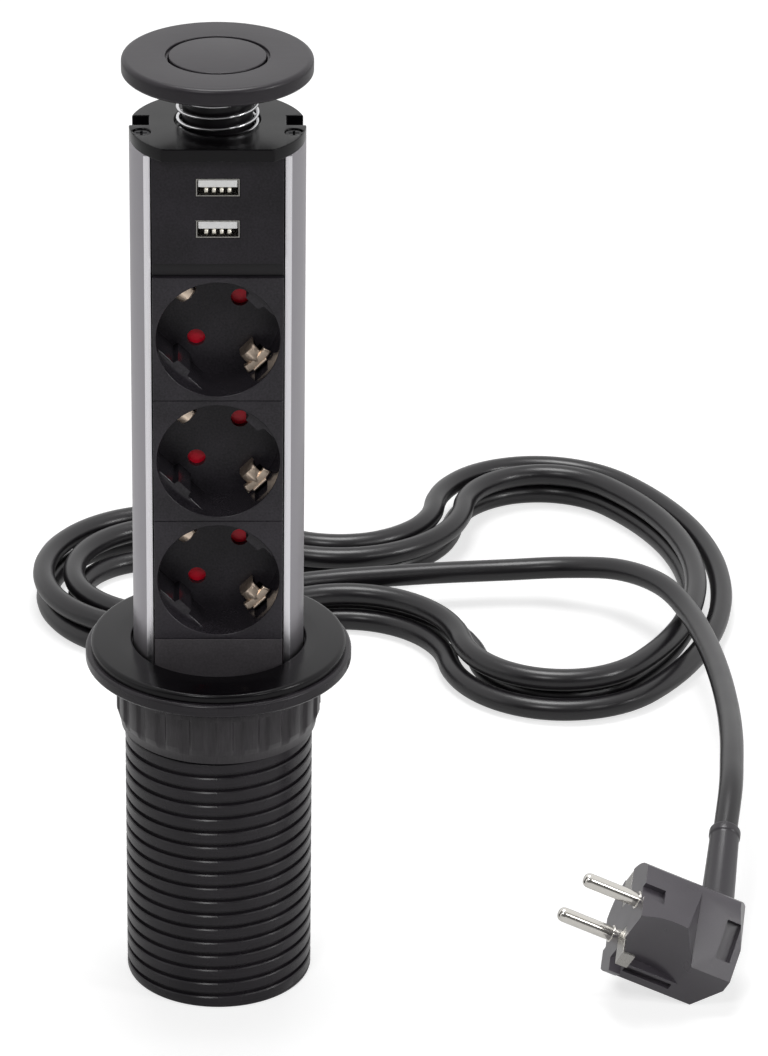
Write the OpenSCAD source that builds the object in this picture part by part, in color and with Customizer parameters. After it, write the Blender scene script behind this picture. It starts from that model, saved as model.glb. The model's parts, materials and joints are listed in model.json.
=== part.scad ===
// Pop up desk socket: a tower with three earthed sockets and two USB ports
// that slides up through a threaded sleeve clamped in a desk hole.
// Millimetres, +Z up, front towards -Y, origin at the middle of the sleeve's foot.

/* [Sleeve and flange] */
// Height of the threaded sleeve, foot to flange
sleeve_h = 112; // [100:1:130]
// Bore of the sleeve
sleeve_bore_d = 56; // [55.6:0.1:57]
// Diameter at the thread's groove
thread_root_d = 58; // [57.6:0.1:58.6]
// Diameter at the thread's crest
thread_crest_d = 59.6; // [59.2:0.1:60.4]
// Distance from one groove to the next
thread_pitch = 5; // [4:0.25:7]
// Width of a thread groove at its mouth
groove_w = 1.8; // [1:0.1:2.4]
// Diameter of the flange that rests on the desk
flange_d = 84; // [78:1:96]
// Thickness of the flange
flange_t = 4.4; // [3:0.1:7]
// Diameter of the glossy bezel on the flange
bezel_d = 80.6; // [72:0.2:82]
// Thickness of the bezel
bezel_t = 3.1; // [2.4:0.1:5]
// Width of the cord's arch in the rear of the foot
arch_w = 10.4; // [9.6:0.2:14]

/* [Lock nut] */
// Diameter over the grip ribs
nut_d = 64.8; // [64.2:0.2:72]
// Height of the nut
nut_h = 19.5; // [12:0.5:26]
// Number of grip ribs
nut_ribs = 24; // [16:1:32]
// Thickness of the slip washer above the nut
washer_t = 2; // [1:0.1:4]

/* [Tower] */
// Diameter of the aluminium profile
tower_d = 53.6; // [53:0.1:53.8]
// Wall of the profile
profile_wall = 1.8; // [1.4:0.1:2.2]
// Length of the raised tower that stays in the sleeve
held_h = 40.5; // [34:0.5:46]
// Thickness of the top plate
plate_t = 4; // [3.5:0.1:6]
// Distance from the axis to the flat front of the top plate
plate_flat = 20.8; // [19:0.1:23]
// Thickness of the foot cap
cap_t = 7; // [5:0.5:9]
// Overhang of the foot cap, which stops the tower at the top
cap_lip = 0.8; // [0.6:0.05:0.9]

/* [Sockets] */
// Depth of a socket's recess
recess_depth = 17; // [15:0.5:17.5]
// Height of one socket module
socket_h = 41; // [40:0.2:42]
// Panel left between two recesses
recess_rim = 3.2; // [3:0.1:4]
// Panel left beside a recess, to the edge of the profile's open front
recess_side = 1.3; // [1.2:0.1:1.6]
// Distance between the two pin holes
pin_spacing = 19; // [18:0.25:20]
// Diameter of a pin hole
pin_hole_d = 5.6; // [5:0.1:6]
// Turn of the pin holes from level
pin_turn = 45; // [0:5:60]
// Width of an earth clip
clip_w = 5; // [4:0.25:6]
// Height of the blank panel shown under the sockets
blank_h = 7.8; // [6:0.2:10]
// Height of the sunken band over the sockets
band_h = 4.6; // [3:0.2:6]

/* [USB ports] */
// Height of the charging panel
usb_h = 34.6; // [33:0.2:40]
// Width of a port
port_w = 13.2; // [12.8:0.1:14]
// Height of a port
port_h = 5.7; // [5.2:0.1:6.4]
// Distance between the two ports
port_gap = 13.5; // [11:0.5:15]
// Length of a port's shell
port_len = 9.2; // [8:0.1:9.4]

/* [Lid and button] */
// Diameter of the lid
lid_d = 58; // [56:0.5:64]
// Thickness of the lid
lid_t = 5.5; // [5:0.1:8]
// Gap between the lid and the top plate
lid_gap = 16.6; // [14:0.2:20]
// Diameter of the push button
button_d = 29.4; // [24:0.2:36]
// Travel of the push button
button_travel = 2.5; // [1:0.1:2.8]
// Diameter of the lid's stem
stem_d = 21.4; // [20:0.2:21.8]

/* [Springs] */
// Outer diameter of the lid's spring
spring_od = 25.4; // [24.8:0.1:26]
// Wire of the lid's spring
spring_wire = 1.2; // [0.9:0.1:1.3]
// Open turns of the lid's spring
spring_turns = 3.5; // [3:0.5:5]
// Depth of the spring's seat in the top plate
seat_depth = 2; // [1:0.1:3]

/* [Cord and plug] */
// Diameter of the cord
cord_d = 8; // [7:0.1:8]
// Whole loops of the hank
hank_loops = 3; // [2:1:3]
// Sideways step from one loop of the hank to the next
hank_step = 11; // [9:0.5:11]
// Diameter of the plug's face
plug_d = 37.2; // [35:0.1:37.4]
// Length of the plug's body behind its face
plug_l = 38; // [36:0.5:42]
// Diameter of a plug pin
pin_d = 4.8; // [4:0.1:5]
// Length of a plug pin
pin_l = 19; // [17:0.5:20]
// Length of the plug's boot
boot_l = 41; // [34:1:46]

/* [Hidden] */
$fn = 64;
run_gap = 0.35;   // clearance of round faces that slide or turn
seat_gap = 0.1;   // clearance of pieces that sit in one another
face_gap = 0.3;   // clearance of flat faces that meet at the end of a travel

// Socket recess and the open front of the profile
recess_d = socket_h - recess_rim;
front_w = recess_d + 2 * recess_side;

// Radii
tower_r = tower_d / 2;
inner_r = tower_r - profile_wall;
guide_r = tower_r + run_gap;
opening_r = guide_r + run_gap;
lip_r = tower_r + cap_lip;
crest_r = thread_crest_d / 2;
root_r = thread_root_d / 2;
bore_r = sleeve_bore_d / 2;
nut_bore_r = crest_r + run_gap;
stem_r = stem_d / 2;
button_r = button_d / 2;
recess_r = recess_d / 2;

// Heights
exposed_h = blank_h + 3 * socket_h + band_h + usb_h + plate_t;
bezel_z = sleeve_h + flange_t;
flange_top = bezel_z + bezel_t;
plate_top = flange_top + exposed_h;
plate_z = plate_top - plate_t;
profile_z = flange_top - held_h;
cap_z = profile_z - cap_t;
sockets_z = flange_top + blank_h;
band_z = sockets_z + 3 * socket_h;
usb_z = band_z + band_h;
lid_z = plate_top + lid_gap;
lid_top = lid_z + lid_t;
washer_z = sleeve_h - face_gap - washer_t;
nut_z = washer_z - 0.2 - nut_h;
collar_t = 1.4;
collar_r = bore_r + 2.2;

// Front panel, which stands proud of the flat lips of the profile
front_y = -sqrt(pow(tower_r, 2) - pow(front_w / 2, 2));
lip_y = -sqrt(pow(inner_r, 2) - pow(front_w / 2, 2));
panel_w = front_w - 2 * face_gap;
body_r = inner_r - 0.3;
floor_y = front_y + recess_depth;
floor_t = 2;
shutter_t = 1.8;
chamber_t = shutter_t + 0.7;
chamber_r = pin_spacing / 2 + 3.4;
carrier_y = floor_y + floor_t;
contact_y = carrier_y + chamber_t + 0.4;
contact_r = 3.3;
pivot_r = 1.6;
pin_plate_r = recess_r + 0.8;
chord_u = recess_r - 2.6;
clip_u = recess_r - 0.9;
clip_t = 0.8;
slot_w = clip_w + 0.6;
module_back = 20.4;
board_t = 1.2;
board_w = front_w - 10.4;

// Screws of the top plate and of the foot cap
screw_x = inner_r - 2.1;
boss_r = 2.2;
screw_y = -6.5;
screw_d = 2.6;
screw_head_d = 5.2;
top_grip = 8;
foot_grip = 6;

// Lid spring
seat_z = plate_top - seat_depth;
spring_r = (spring_od - spring_wire) / 2;
spring_z0 = seat_z + spring_wire / 2 + 0.05;
spring_z1 = lid_z - spring_wire / 2 - 0.05;
closed_pitch = spring_wire + 0.5;
closed_turns = 0.75;

// Stem of the lid, behind the charging board, and the push button in it
stem_wall = 1.5;
stem_y = front_y + port_len + 0.05 + board_t + 0.5 + stem_r;
button_t = 1.5;
cup_z = lid_top - button_t - button_travel - 0.2;
plunger_r = 3.2;
plunger_l = 14;
shelf_z = lid_z - 13;
button_spring_wire = 0.8;
button_spring_r = 4.4;
collar_h = 1.6;
button_collar_r = button_spring_r + 0.4;
plunger_y = max(0, stem_y - stem_r + stem_wall + button_collar_r + 0.3);

// Gland at the tower's foot
gland_y = -5;
gland_r = 7.4;
gland_end_r = 5.2;
gland_len = 24;
gland_end = cap_z - gland_len;

// Hank: two lobes drawn in at a waist, on the surface behind the sleeve
hank_y = 255;
lobe_x = -17;
lobe_r = 52;
waist_half = 25;
waist_r = 34;
corner_r = 44;
corner_y = 50;
end_r = 120;
start_a = 110;
leave_a = 100;
layer_step = cord_d + 0.6;
cord_z = cord_d / 2 + 0.3;
waist_dy = waist_half + waist_r;
waist_x = lobe_x + sqrt(pow(lobe_r + waist_r, 2) - pow(waist_dy, 2));
corner_x = waist_x + sqrt(pow(corner_r + waist_r, 2) - pow(waist_dy - corner_y, 2));
end_x = corner_x - sqrt(pow(end_r - corner_r, 2) - pow(corner_y, 2));
lobe_a = atan2(waist_dy, waist_x - lobe_x);
corner_a = atan2(waist_dy - corner_y, waist_x - corner_x);
end_a = atan2(corner_y, corner_x - end_x);
// Centre, radius and angles of each arc of the outer loop, from the left lobe's top onwards
LOOP = [
    [[lobe_x, hank_y], lobe_r, start_a, 360 - lobe_a],
    [[waist_x, hank_y - waist_dy], waist_r, 180 - lobe_a, 180 - corner_a],
    [[corner_x, hank_y - corner_y], corner_r, 360 - corner_a, 360 - end_a],
    [[end_x, hank_y], end_r, -end_a, end_a],
    [[corner_x, hank_y + corner_y], corner_r, end_a, corner_a],
    [[waist_x, hank_y + waist_dy], waist_r, 180 + corner_a, 180 + lobe_a],
    [[lobe_x, hank_y], lobe_r, lobe_a, start_a]
];

// Free stretches of the cord, from the gland to the hank and on to the plug
TAIL_ROUTE = [
    [0, -4.6, 36], [0, -2.2, 25.4], [0, 4.4, 15.8], [0, 14.4, 9], [0, 27, 6.2], [0, 44, 5.2],
    [1, 72, 4.5], [5, 110, 4.6], [11, 150, 7], [16, 182, 14.4], [18.5, 205, 21], [19.5, 224, 22.4],
    [19.4, 240, 22], [17.8, 252, 16.8], [13.6, 264, 10.6], [5.8, 274.6, 6.2], [-5.4, 281.3, 4.5]
];
LEAD_ROUTE = [
    [62, 251.4, 12.9], [82, 254, 12.9], [106, 256, 13], [128, 254, 15], [147, 244, 19],
    [161, 226, 21.8], [169, 203, 22.4], [173, 174, 24.8], [174.6, 144, 28.4], [174.6, 113, 32.4],
    [173.4, 86, 35.8], [171.6, 65, 37.6], [169.6, 46, 37.6]
];

// Plug, lying on a corner of its grip with the pins raised; x leaves its face, y joins its pins
plug_place = [129.8, -22.9, 29.4];
plug_tilt = [109.5, 24.4, -0.8];
plug_r = plug_d / 2;
plug_flat = 15.2;
plug_near = 11.5;
root_l = 8;
boot_x = 31.3;
boot_seat = 12;
boot_r = 6;
boot_end_r = 5.2;

// Vector helpers
function unit(v) = v / norm(v);
function last(p) = p[len(p) - 1];
function tangents(p) =
    [for (i = [0 : len(p) - 1]) unit(p[min(i + 1, len(p) - 1)] - p[max(i - 1, 0)])];
function square_to(n, t) = unit(n - (n * t) * t);
function carry(t, n0) =
    [for (i = 0, n = square_to(n0, t[0]); i < len(t);
          i = i + 1, n = square_to(n, t[min(i, len(t) - 1)])) n];

// Smooth curve through hand chosen points
function through(p, i, u) =
    let (a = p[max(i - 1, 0)], b = p[i], c = p[i + 1], d = p[min(i + 2, len(p) - 1)])
    0.5 * (2 * b + (c - a) * u + (2 * a - 5 * b + 4 * c - d) * u * u
        + (3 * b - a - 3 * c + d) * u * u * u);
// The same from start[1] to end[0], leaving and arriving square to what is met there
function meet(start, route, end) =
    let (p = concat(start, route, end), n = len(p), stub = 2,
        out = unit(start[1] - start[0]), in = unit(end[1] - end[0]))
    concat([start[1], start[1] + stub * out],
        [for (i = [1 : n - 3]) for (j = [0, 1]) if (i + j > 1) through(p, i, j / 2)],
        [end[0] - stub * in, end[0]]);

// Least distance between stretches of a path that lie further apart along it than skip points
function least_gap(p, skip, d) =
    min([for (i = [0 : len(p) - 1 - skip])
        min([for (j = [i + skip : len(p) - 1]) norm(p[i] - p[j])])]) - d;

// One unbroken tube along a path
module tube(path, d, sides) {
    t = tangents(path);
    n = carry(t, [0.1, 0.2, 1]);
    count = len(path);
    pts = [for (i = [0 : count - 1]) for (k = [0 : sides - 1])
        let (a = 360 * k / sides)
        path[i] + d / 2 * (cos(a) * n[i] + sin(a) * cross(t[i], n[i]))];
    walls = [for (i = [0 : count - 2]) for (k = [0 : sides - 1]) for (half = [0, 1])
        let (a = i * sides + k, b = i * sides + (k + 1) % sides)
        half == 0 ? [a, b + sides, b] : [a, a + sides, b + sides]];
    foot = [for (k = [1 : sides - 2]) [0, k, k + 1]];
    top = [for (k = [1 : sides - 2]) let (e = (count - 1) * sides) [e, e + k + 1, e + k]];
    polyhedron(pts, concat(walls, foot, top), convexity = 10);
}

// Helix from z0 to z1, closed at both ends and open between
function helix_z(u, z0, z1, open, pitch) =
    let (rise = z1 - z0 - 2 * closed_turns * pitch)
    u < closed_turns ? z0 + u * pitch
    : u > closed_turns + open ? z1 - (2 * closed_turns + open - u) * pitch
    : z0 + closed_turns * pitch + rise * (u - closed_turns) / open;
function helix(r, z0, z1, open, pitch, centre) =
    let (all = open + 2 * closed_turns, steps = ceil(all * 14))
    [for (i = [0 : steps]) let (u = all * i / steps, a = 360 * u + 200)
        [centre[0] + r * cos(a), centre[1] + r * sin(a), helix_z(u, z0, z1, open, pitch)]];

// Place at distance q along the hank's outer loop, s inside it
function arc_len(k) = abs(k[3] - k[2]) * PI / 180 * k[1];
function arc_at(k, u, s) =
    let (a = k[2] + u * (k[3] - k[2]), r = k[1] - s * sign(k[3] - k[2])) k[0] + r * [cos(a), sin(a)];
loop_len = [for (k = LOOP) arc_len(k)] * [for (k = LOOP) 1];
function loop_at(q, s, i = 0) =
    q <= arc_len(LOOP[i]) || i == len(LOOP) - 1
    ? arc_at(LOOP[i], q / arc_len(LOOP[i]), s)
    : loop_at(q - arc_len(LOOP[i]), s, i + 1);
// The last loop ends at the waist, on its way to the plug
hank_turns = hank_loops
    + (arc_len(LOOP[0]) + arc_len(LOOP[1]) * (180 - lobe_a - leave_a) / (corner_a - lobe_a)) / loop_len;
function ease(u) = let (v = min(max(u, 0), 1)) v * v * (3 - 2 * v);
hank_steps = ceil(hank_turns * 44);
// The first stretch lies further in, clear of the loop that follows it
function hank_at(turn) =
    let (middle = hank_turns / 2, lead_in = max(0, 1 - turn / 0.12),
        xy = loop_at((turn - floor(turn)) * loop_len,
            hank_step * abs(middle - turn) + 6 * lead_in * lead_in))
    [xy[0], xy[1], cord_z + layer_step * ease((turn - middle + 0.25) * 2)];
hank_run = [for (i = [0 : hank_steps]) hank_at(hank_turns * i / hank_steps)];
hank_dir0 = unit(hank_at(0.002) - hank_at(0));
hank_dir1 = unit(hank_at(hank_turns) - hank_at(hank_turns - 0.002));
hank_path = concat([hank_run[0] - cord_d * hank_dir0], hank_run, [last(hank_run) + cord_d * hank_dir1]);
echo(hank_least_gap = least_gap(hank_path, 6, cord_d));

spring_path = helix(spring_r, spring_z0, spring_z1, spring_turns, closed_pitch, [0, stem_y]);
echo(spring_least_gap = least_gap(spring_path, 8, spring_wire));

// Shared shapes
module ring(r_out, r_in, h) {
    difference() {
        cylinder(r = r_out, h = h);
        translate([0, 0, -1]) cylinder(r = r_in, h = h + 2);
    }
}
// Cylinder along +Y
module bar_y(r, l) { rotate([-90, 0, 0]) cylinder(r = r, h = l); }
// Cylinder along +X
module bar_x(r, l) { rotate([0, 90, 0]) cylinder(r = r, h = l); }
// Box from y0 to y1, centred on x and z
module slab(w, y0, y1, h) { translate([-w / 2, y0, -h / 2]) cube([w, y1 - y0, h]); }
module at_screws() {
    for (side = [-1, 1]) translate([side * screw_x, screw_y, 0]) children();
}
// The middle of a socket, turned so that its pins lie along X
module at_socket(i) {
    translate([0, 0, sockets_z + (i + 0.5) * socket_h]) rotate([0, -pin_turn, 0]) children();
}
module at_port(i) {
    translate([0, 0, (usb_z + plate_z) / 2 + 0.9 + (i - 0.5) * port_gap]) children();
}
// Cross section that fills the profile from its open front to a flat back
module fill_section(y_back) {
    difference() {
        fill_outline(y_back);
        at_screws() circle(r = boss_r + 0.3);
    }
}
module fill_outline(y_back) {
    intersection() {
        union() {
            circle(r = body_r);
            translate([-panel_w / 2, front_y]) square([panel_w, -front_y]);
        }
        translate([-tower_r, front_y]) square([tower_d, y_back - front_y]);
        circle(r = tower_r);
    }
}

// Sleeve, flange and nut
module threaded_sleeve() {
    color("#2c2c2e") difference() {
        rotate_extrude() polygon(concat(
            [[bore_r, 0], [crest_r - 1, 0], [crest_r, 1]],
            [for (z = [thread_pitch : thread_pitch : sleeve_h - 4]) each [
                [crest_r, z - groove_w / 2], [root_r, z - groove_w / 4],
                [root_r, z + groove_w / 4], [crest_r, z + groove_w / 2]]],
            [[crest_r, sleeve_h], [flange_d / 2 - 0.8, sleeve_h], [flange_d / 2, sleeve_h + 0.8],
             [flange_d / 2, bezel_z - 0.6], [flange_d / 2 - 0.6, bezel_z], [collar_r + seat_gap, bezel_z],
             [collar_r + seat_gap, bezel_z - collar_t], [bore_r, bezel_z - collar_t]]));
        // Arch for the cord in the rear of the foot
        translate([0, 0, arch_w / 2]) bar_y(arch_w / 2, flange_d);
        translate([-arch_w / 2, 0, -1]) cube([arch_w, flange_d, arch_w / 2 + 1]);
    }
}
module bezel_ring() {
    color("#17171a") translate([0, 0, bezel_z]) rotate_extrude() union() {
        polygon([[opening_r, 0], [bezel_d / 2, 0], [bezel_d / 2, bezel_t - 1.4],
            [bezel_d / 2 - 1.4, bezel_t - 0.2], [opening_r + 4, bezel_t],
            [opening_r + 0.6, bezel_t], [opening_r, bezel_t - 0.6]]);
        intersection() {
            translate([bezel_d / 2 - 1.4, bezel_t - 1.6]) circle(r = 1.4);
            square([bezel_d, bezel_t]);
        }
    }
}
module guide_ring() {
    color("#222224") union() {
        translate([0, 0, profile_z + 0.5])
            ring(bore_r - seat_gap, guide_r, bezel_z - collar_t - profile_z);
        translate([0, 0, bezel_z - collar_t]) ring(collar_r, guide_r, collar_t);
    }
}
module nut_washer() {
    color("#1e1e20") translate([0, 0, washer_z]) ring(nut_d / 2 - 0.6, nut_bore_r, washer_t);
}
module lock_nut() {
    rib_t = 1.1;
    color("#2a2a2c") translate([0, 0, nut_z]) difference() {
        rotate_extrude() polygon([[nut_bore_r, 0], [nut_bore_r + 0.9, 0],
            [nut_d / 2 - rib_t, 3], [nut_d / 2, 5.2], [nut_d / 2, nut_h], [nut_bore_r, nut_h]]);
        // Gaps between the ribs, open below the collar
        for (k = [0 : nut_ribs - 1]) rotate([0, 0, 360 * (k + 0.5) / nut_ribs])
            translate([nut_d / 2 - rib_t, -1.3, -1]) cube([rib_t + 1, 2.6, nut_h - 3]);
    }
}

// Tower body
module tower_profile() {
    color("#a9a8ac") translate([0, 0, profile_z]) linear_extrude(plate_z - profile_z) difference() {
        union() {
            difference() {
                circle(r = tower_r);
                circle(r = inner_r);
            }
            intersection() {
                circle(r = tower_r);
                at_screws() circle(r = boss_r);
            }
        }
        translate([-tower_d, lip_y - tower_d]) square([2 * tower_d, tower_d]);
        at_screws() circle(d = screw_d - 0.6);
    }
}
module top_plate() {
    notch_w = 6;
    color("#2a2a2c") difference() {
        union() {
            translate([0, 0, plate_z]) cylinder(r = tower_r, h = plate_t);
            // Hub that carries the stem and the spring
            translate([0, stem_y, plate_z - 2.6]) cylinder(r = stem_r + 2.6, h = 3);
        }
        translate([-tower_d, -tower_d - plate_flat, plate_z - 5]) cube([2 * tower_d, tower_d, 20]);
        translate([0, stem_y, plate_z - 5]) cylinder(r = stem_r + run_gap, h = 20);
        translate([0, stem_y, seat_z]) cylinder(r = spring_od / 2 + 0.5, h = 20);
        // Screw holes with countersinks
        at_screws() translate([0, 0, plate_z - 1]) cylinder(d = screw_d + 0.2, h = plate_t + 2);
        at_screws() translate([0, 0, plate_top - 2]) cylinder(d = screw_head_d + 0.4, h = 3);
        // Notches in the rim behind the screws
        for (side = [-1, 1]) translate([side * (tower_r - notch_w / 2), 2.8, plate_top - 1])
            cube([notch_w, 7.4, 5], center = true);
    }
}
// Screw with a flat head, upright, with its head's top at z = 0
module screw(l) {
    difference() {
        union() {
            translate([0, 0, -l]) cylinder(d = screw_d - 0.7, h = l);
            translate([0, 0, -1.6]) cylinder(d = screw_head_d, h = 1.6);
        }
        for (a = [0, 90]) rotate([0, 0, a]) translate([-1.6, -0.35, -0.9]) cube([3.2, 0.7, 2]);
    }
}
module top_screws() {
    color("#5a5a5e") at_screws() translate([0, 0, plate_top - 0.4]) screw(plate_t + top_grip);
}
module foot_cap() {
    color("#242426") difference() {
        union() {
            translate([0, 0, cap_z]) cylinder(r1 = lip_r - 1, r2 = lip_r, h = 1);
            translate([0, 0, cap_z + 1]) cylinder(r = lip_r, h = cap_t - 1);
            // Plug that enters the profile behind the blank panel
            translate([0, 0, profile_z]) linear_extrude(4) difference() {
                intersection() {
                    circle(r = body_r);
                    translate([-body_r, front_y + 6]) square([2 * body_r, 2 * body_r]);
                }
                at_screws() circle(r = boss_r + 0.3);
                translate([0, gland_y]) circle(r = gland_r + 2);
            }
        }
        at_screws() translate([0, 0, cap_z - 1]) cylinder(d = screw_d + 0.2, h = cap_t + 2);
        at_screws() translate([0, 0, cap_z - 1]) cylinder(d = screw_head_d + 0.4, h = 3);
        translate([0, gland_y, cap_z - 1]) cylinder(r = gland_r - 1.4 + seat_gap, h = cap_t + 2);
    }
}
module foot_screws() {
    color("#5a5a5e") at_screws() translate([0, 0, cap_z + 0.4]) mirror([0, 0, 1]) screw(cap_t + foot_grip);
}
module cable_gland() {
    color("#1d1d1f") translate([0, gland_y, 0]) union() {
        translate([0, 0, gland_end]) cylinder(r1 = gland_end_r, r2 = gland_r - 1, h = gland_len - 5);
        translate([0, 0, cap_z - 5]) cylinder(r = gland_r, h = 5);
        translate([0, 0, cap_z]) cylinder(r = gland_r - 1.4, h = cap_t);
        translate([0, 0, profile_z]) cylinder(r = gland_r, h = 2.4);
    }
}

// Front panels
module usb_module() {
    color("#1f1f21") difference() {
        translate([0, 0, usb_z + 0.05]) linear_extrude(plate_z - usb_z - 0.1) fill_section(front_y + 5);
        for (i = [0, 1]) at_port(i) slab(port_w + 0.2, front_y - 1, front_y + 8, port_h + 0.2);
    }
}
module usb_shell(i) {
    wall = 0.4;
    color("#c9c8c4") at_port(i) difference() {
        slab(port_w, front_y + 0.2, front_y + port_len, port_h);
        slab(port_w - 2 * wall, front_y - 1, front_y + port_len - 0.6, port_h - 2 * wall);
    }
}
tongue_h = 1.9;
module usb_tongue(i) {
    color("#e6e4de") at_port(i) translate([0, 0, port_h / 2 - 0.9 - tongue_h / 2])
        slab(port_w - 2.2, front_y + 1.4, front_y + port_len - 0.7, tongue_h);
}
module usb_contacts(i) {
    color("#c8a24a") at_port(i) translate([0, 0, port_h / 2 - 0.9 - tongue_h - 0.14])
        for (k = [-1.5 : 1 : 1.5]) translate([k * 2.3, 0, 0])
            slab(1.1, front_y + 1.8, front_y + port_len - 1, 0.28);
}
module usb_board() {
    color("#20452c") translate([0, 0, (usb_z + plate_z) / 2])
        slab(board_w, front_y + port_len + 0.05, front_y + port_len + 0.05 + board_t, plate_z - usb_z - 6);
}
module band_strip() {
    color("#141416") translate([0, 0, band_z + 0.05]) linear_extrude(band_h - 0.1) intersection() {
        fill_section(front_y + 7);
        translate([-tower_r, front_y + 1.6]) square([tower_d, tower_d]);
    }
}
module blank_panel() {
    color("#222224") translate([0, 0, profile_z + 0.05])
        linear_extrude(sockets_z - profile_z - 0.1) fill_section(front_y + 4.6);
}

// Sockets: a cup at the front, a plate with the pin holes, and a carrier of the contacts behind it
module socket(i) {
    key_w = 5.6;
    color("#202022") difference() {
        union() {
            difference() {
                translate([0, 0, sockets_z + i * socket_h + 0.05])
                    linear_extrude(socket_h - 0.1) fill_section(carrier_y);
                at_socket(i) translate([0, front_y - 1, 0]) bar_y(recess_r, tower_d);
            }
            // Flats on the recess wall with a guide key each, in line with the pins
            at_socket(i) intersection() {
                translate([0, front_y + 4, 0]) bar_y(recess_r + 0.2, recess_depth - 3);
                for (side = [-1, 1]) union() {
                    translate([side * (chord_u + 5), floor_y - 10, 0])
                        cube([10, 30, 2 * recess_r], center = true);
                    translate([side * (chord_u + 3.4), floor_y, 0]) cube([10, 20, key_w], center = true);
                }
            }
        }
        at_socket(i) {
            // Seat of the pin plate
            translate([0, floor_y, 0]) bar_y(pin_plate_r + seat_gap, tower_d);
            // Channels of the earth clip's fingers in the recess wall
            for (side = [-1, 1]) translate([-slot_w / 2, front_y + 3, side * recess_r - 1.2])
                cube([slot_w, recess_depth, 2.4]);
        }
    }
}
module clip_slots() {
    for (side = [-1, 1]) translate([-slot_w / 2, floor_y - 1, side * (clip_u - 0.7) - 2])
        cube([slot_w, 12, 4]);
}
module pin_plate(i) {
    color("#202022") at_socket(i) difference() {
        union() {
            translate([0, floor_y, 0]) bar_y(pin_plate_r, floor_t - 0.05);
            // Pivot of the shutter
            translate([0, floor_y + 1, 0]) bar_y(pivot_r, floor_t + shutter_t - 0.7);
        }
        for (side = [-1, 1]) translate([side * pin_spacing / 2, floor_y - 1, 0])
            bar_y(pin_hole_d / 2, floor_t + 2);
        clip_slots();
    }
}
module contact_carrier(i) {
    color("#2c2c2e") difference() {
        translate([0, 0, sockets_z + i * socket_h + 0.05]) linear_extrude(socket_h - 0.1) intersection() {
            fill_section(module_back);
            translate([-tower_r, carrier_y]) square([tower_d, tower_d]);
        }
        at_socket(i) {
            // Chamber of the shutter, bores of the contacts, and the channel of the earth clip's strap
            translate([0, carrier_y - 1, 0]) bar_y(chamber_r, chamber_t + 1);
            for (side = [-1, 1]) translate([side * pin_spacing / 2, carrier_y + 1, 0])
                bar_y(contact_r + 0.2, tower_d);
            clip_slots();
            translate([-slot_w / 2, contact_y - 0.2, -clip_u - 1.3])
                cube([slot_w, tower_d, 2 * clip_u + 2.6]);
        }
    }
}
module shutter(i) {
    arm = pin_spacing / 2 + 3;
    color("#b01626") at_socket(i) translate([0, floor_y + floor_t + 0.35, 0]) difference() {
        intersection() {
            union() {
                slab(2 * arm, 0, shutter_t, 7);
                bar_y(4.4, shutter_t);
            }
            bar_y(arm, shutter_t);
        }
        translate([0, -1, 0]) bar_y(pivot_r + face_gap, shutter_t + 2);
    }
}
// Earth clip: a strap behind the floor with a bent finger at each end
module earth_clip(i) {
    base_y = contact_y + 0.2;
    tip = 4.6;
    half = [
        [base_y + clip_t, clip_u], [floor_y - 1.4, clip_u], [floor_y - 4.6, clip_u - tip],
        [floor_y - 11, clip_u + 0.5], [floor_y - 12, clip_u],
        [floor_y - 4.7, clip_u - tip - clip_t - 0.5], [floor_y - 0.8, clip_u - clip_t],
        [base_y, clip_u - clip_t]
    ];
    other = [for (k = [len(half) - 1 : -1 : 0]) [half[k][0], -half[k][1]]];
    color("#cdbb92") at_socket(i) translate([-clip_w / 2, 0, 0]) rotate([90, 0, 90])
        linear_extrude(clip_w) polygon(concat(half, other));
}
// Busbar: a strip behind the modules with a tube contact for each socket
module busbar(side) {
    strip_t = 1;
    x = side * pin_spacing / 2;
    low = sockets_z + 0.5 * socket_h;
    color("#c79a4b") union() {
        for (i = [0 : 2]) at_socket(i) translate([x, contact_y, 0]) difference() {
            bar_y(contact_r, module_back + 0.6 - contact_y);
            translate([0, -1, 0]) bar_y(contact_r - 0.8, module_back - contact_y - 0.4);
        }
        translate([x * cos(pin_turn) - 2.5, module_back + 0.2, low + x * sin(pin_turn) - 4])
            cube([5, strip_t, 2 * socket_h + 8]);
    }
}

// Lid, stem and button
module lid_disc() {
    edge = 2.6;
    color("#4a4a4d") difference() {
        translate([0, 0, lid_z]) rotate_extrude() union() {
            polygon([[0, 0], [lid_d / 2 - 0.8, 0], [lid_d / 2, 0.8], [lid_d / 2, lid_t - edge],
                [lid_d / 2 - edge, lid_t - edge], [lid_d / 2 - edge, lid_t], [0, lid_t]]);
            intersection() {
                translate([lid_d / 2 - edge, lid_t - edge]) circle(r = edge);
                square([lid_d, lid_t]);
            }
        }
        translate([0, 0, cup_z]) cylinder(r = button_r + run_gap, h = lid_t);
        translate([0, plunger_y, lid_z - 1]) cylinder(r = plunger_r + run_gap, h = lid_t);
        // Seat of the stem
        translate([0, stem_y, lid_z - 1]) ring(stem_r + 0.1, stem_r - stem_wall - 0.1, 1.5);
    }
}
retainer_t = 2;
retainer_z = plate_z - 2.6 - 0.3 - retainer_t;
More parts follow.
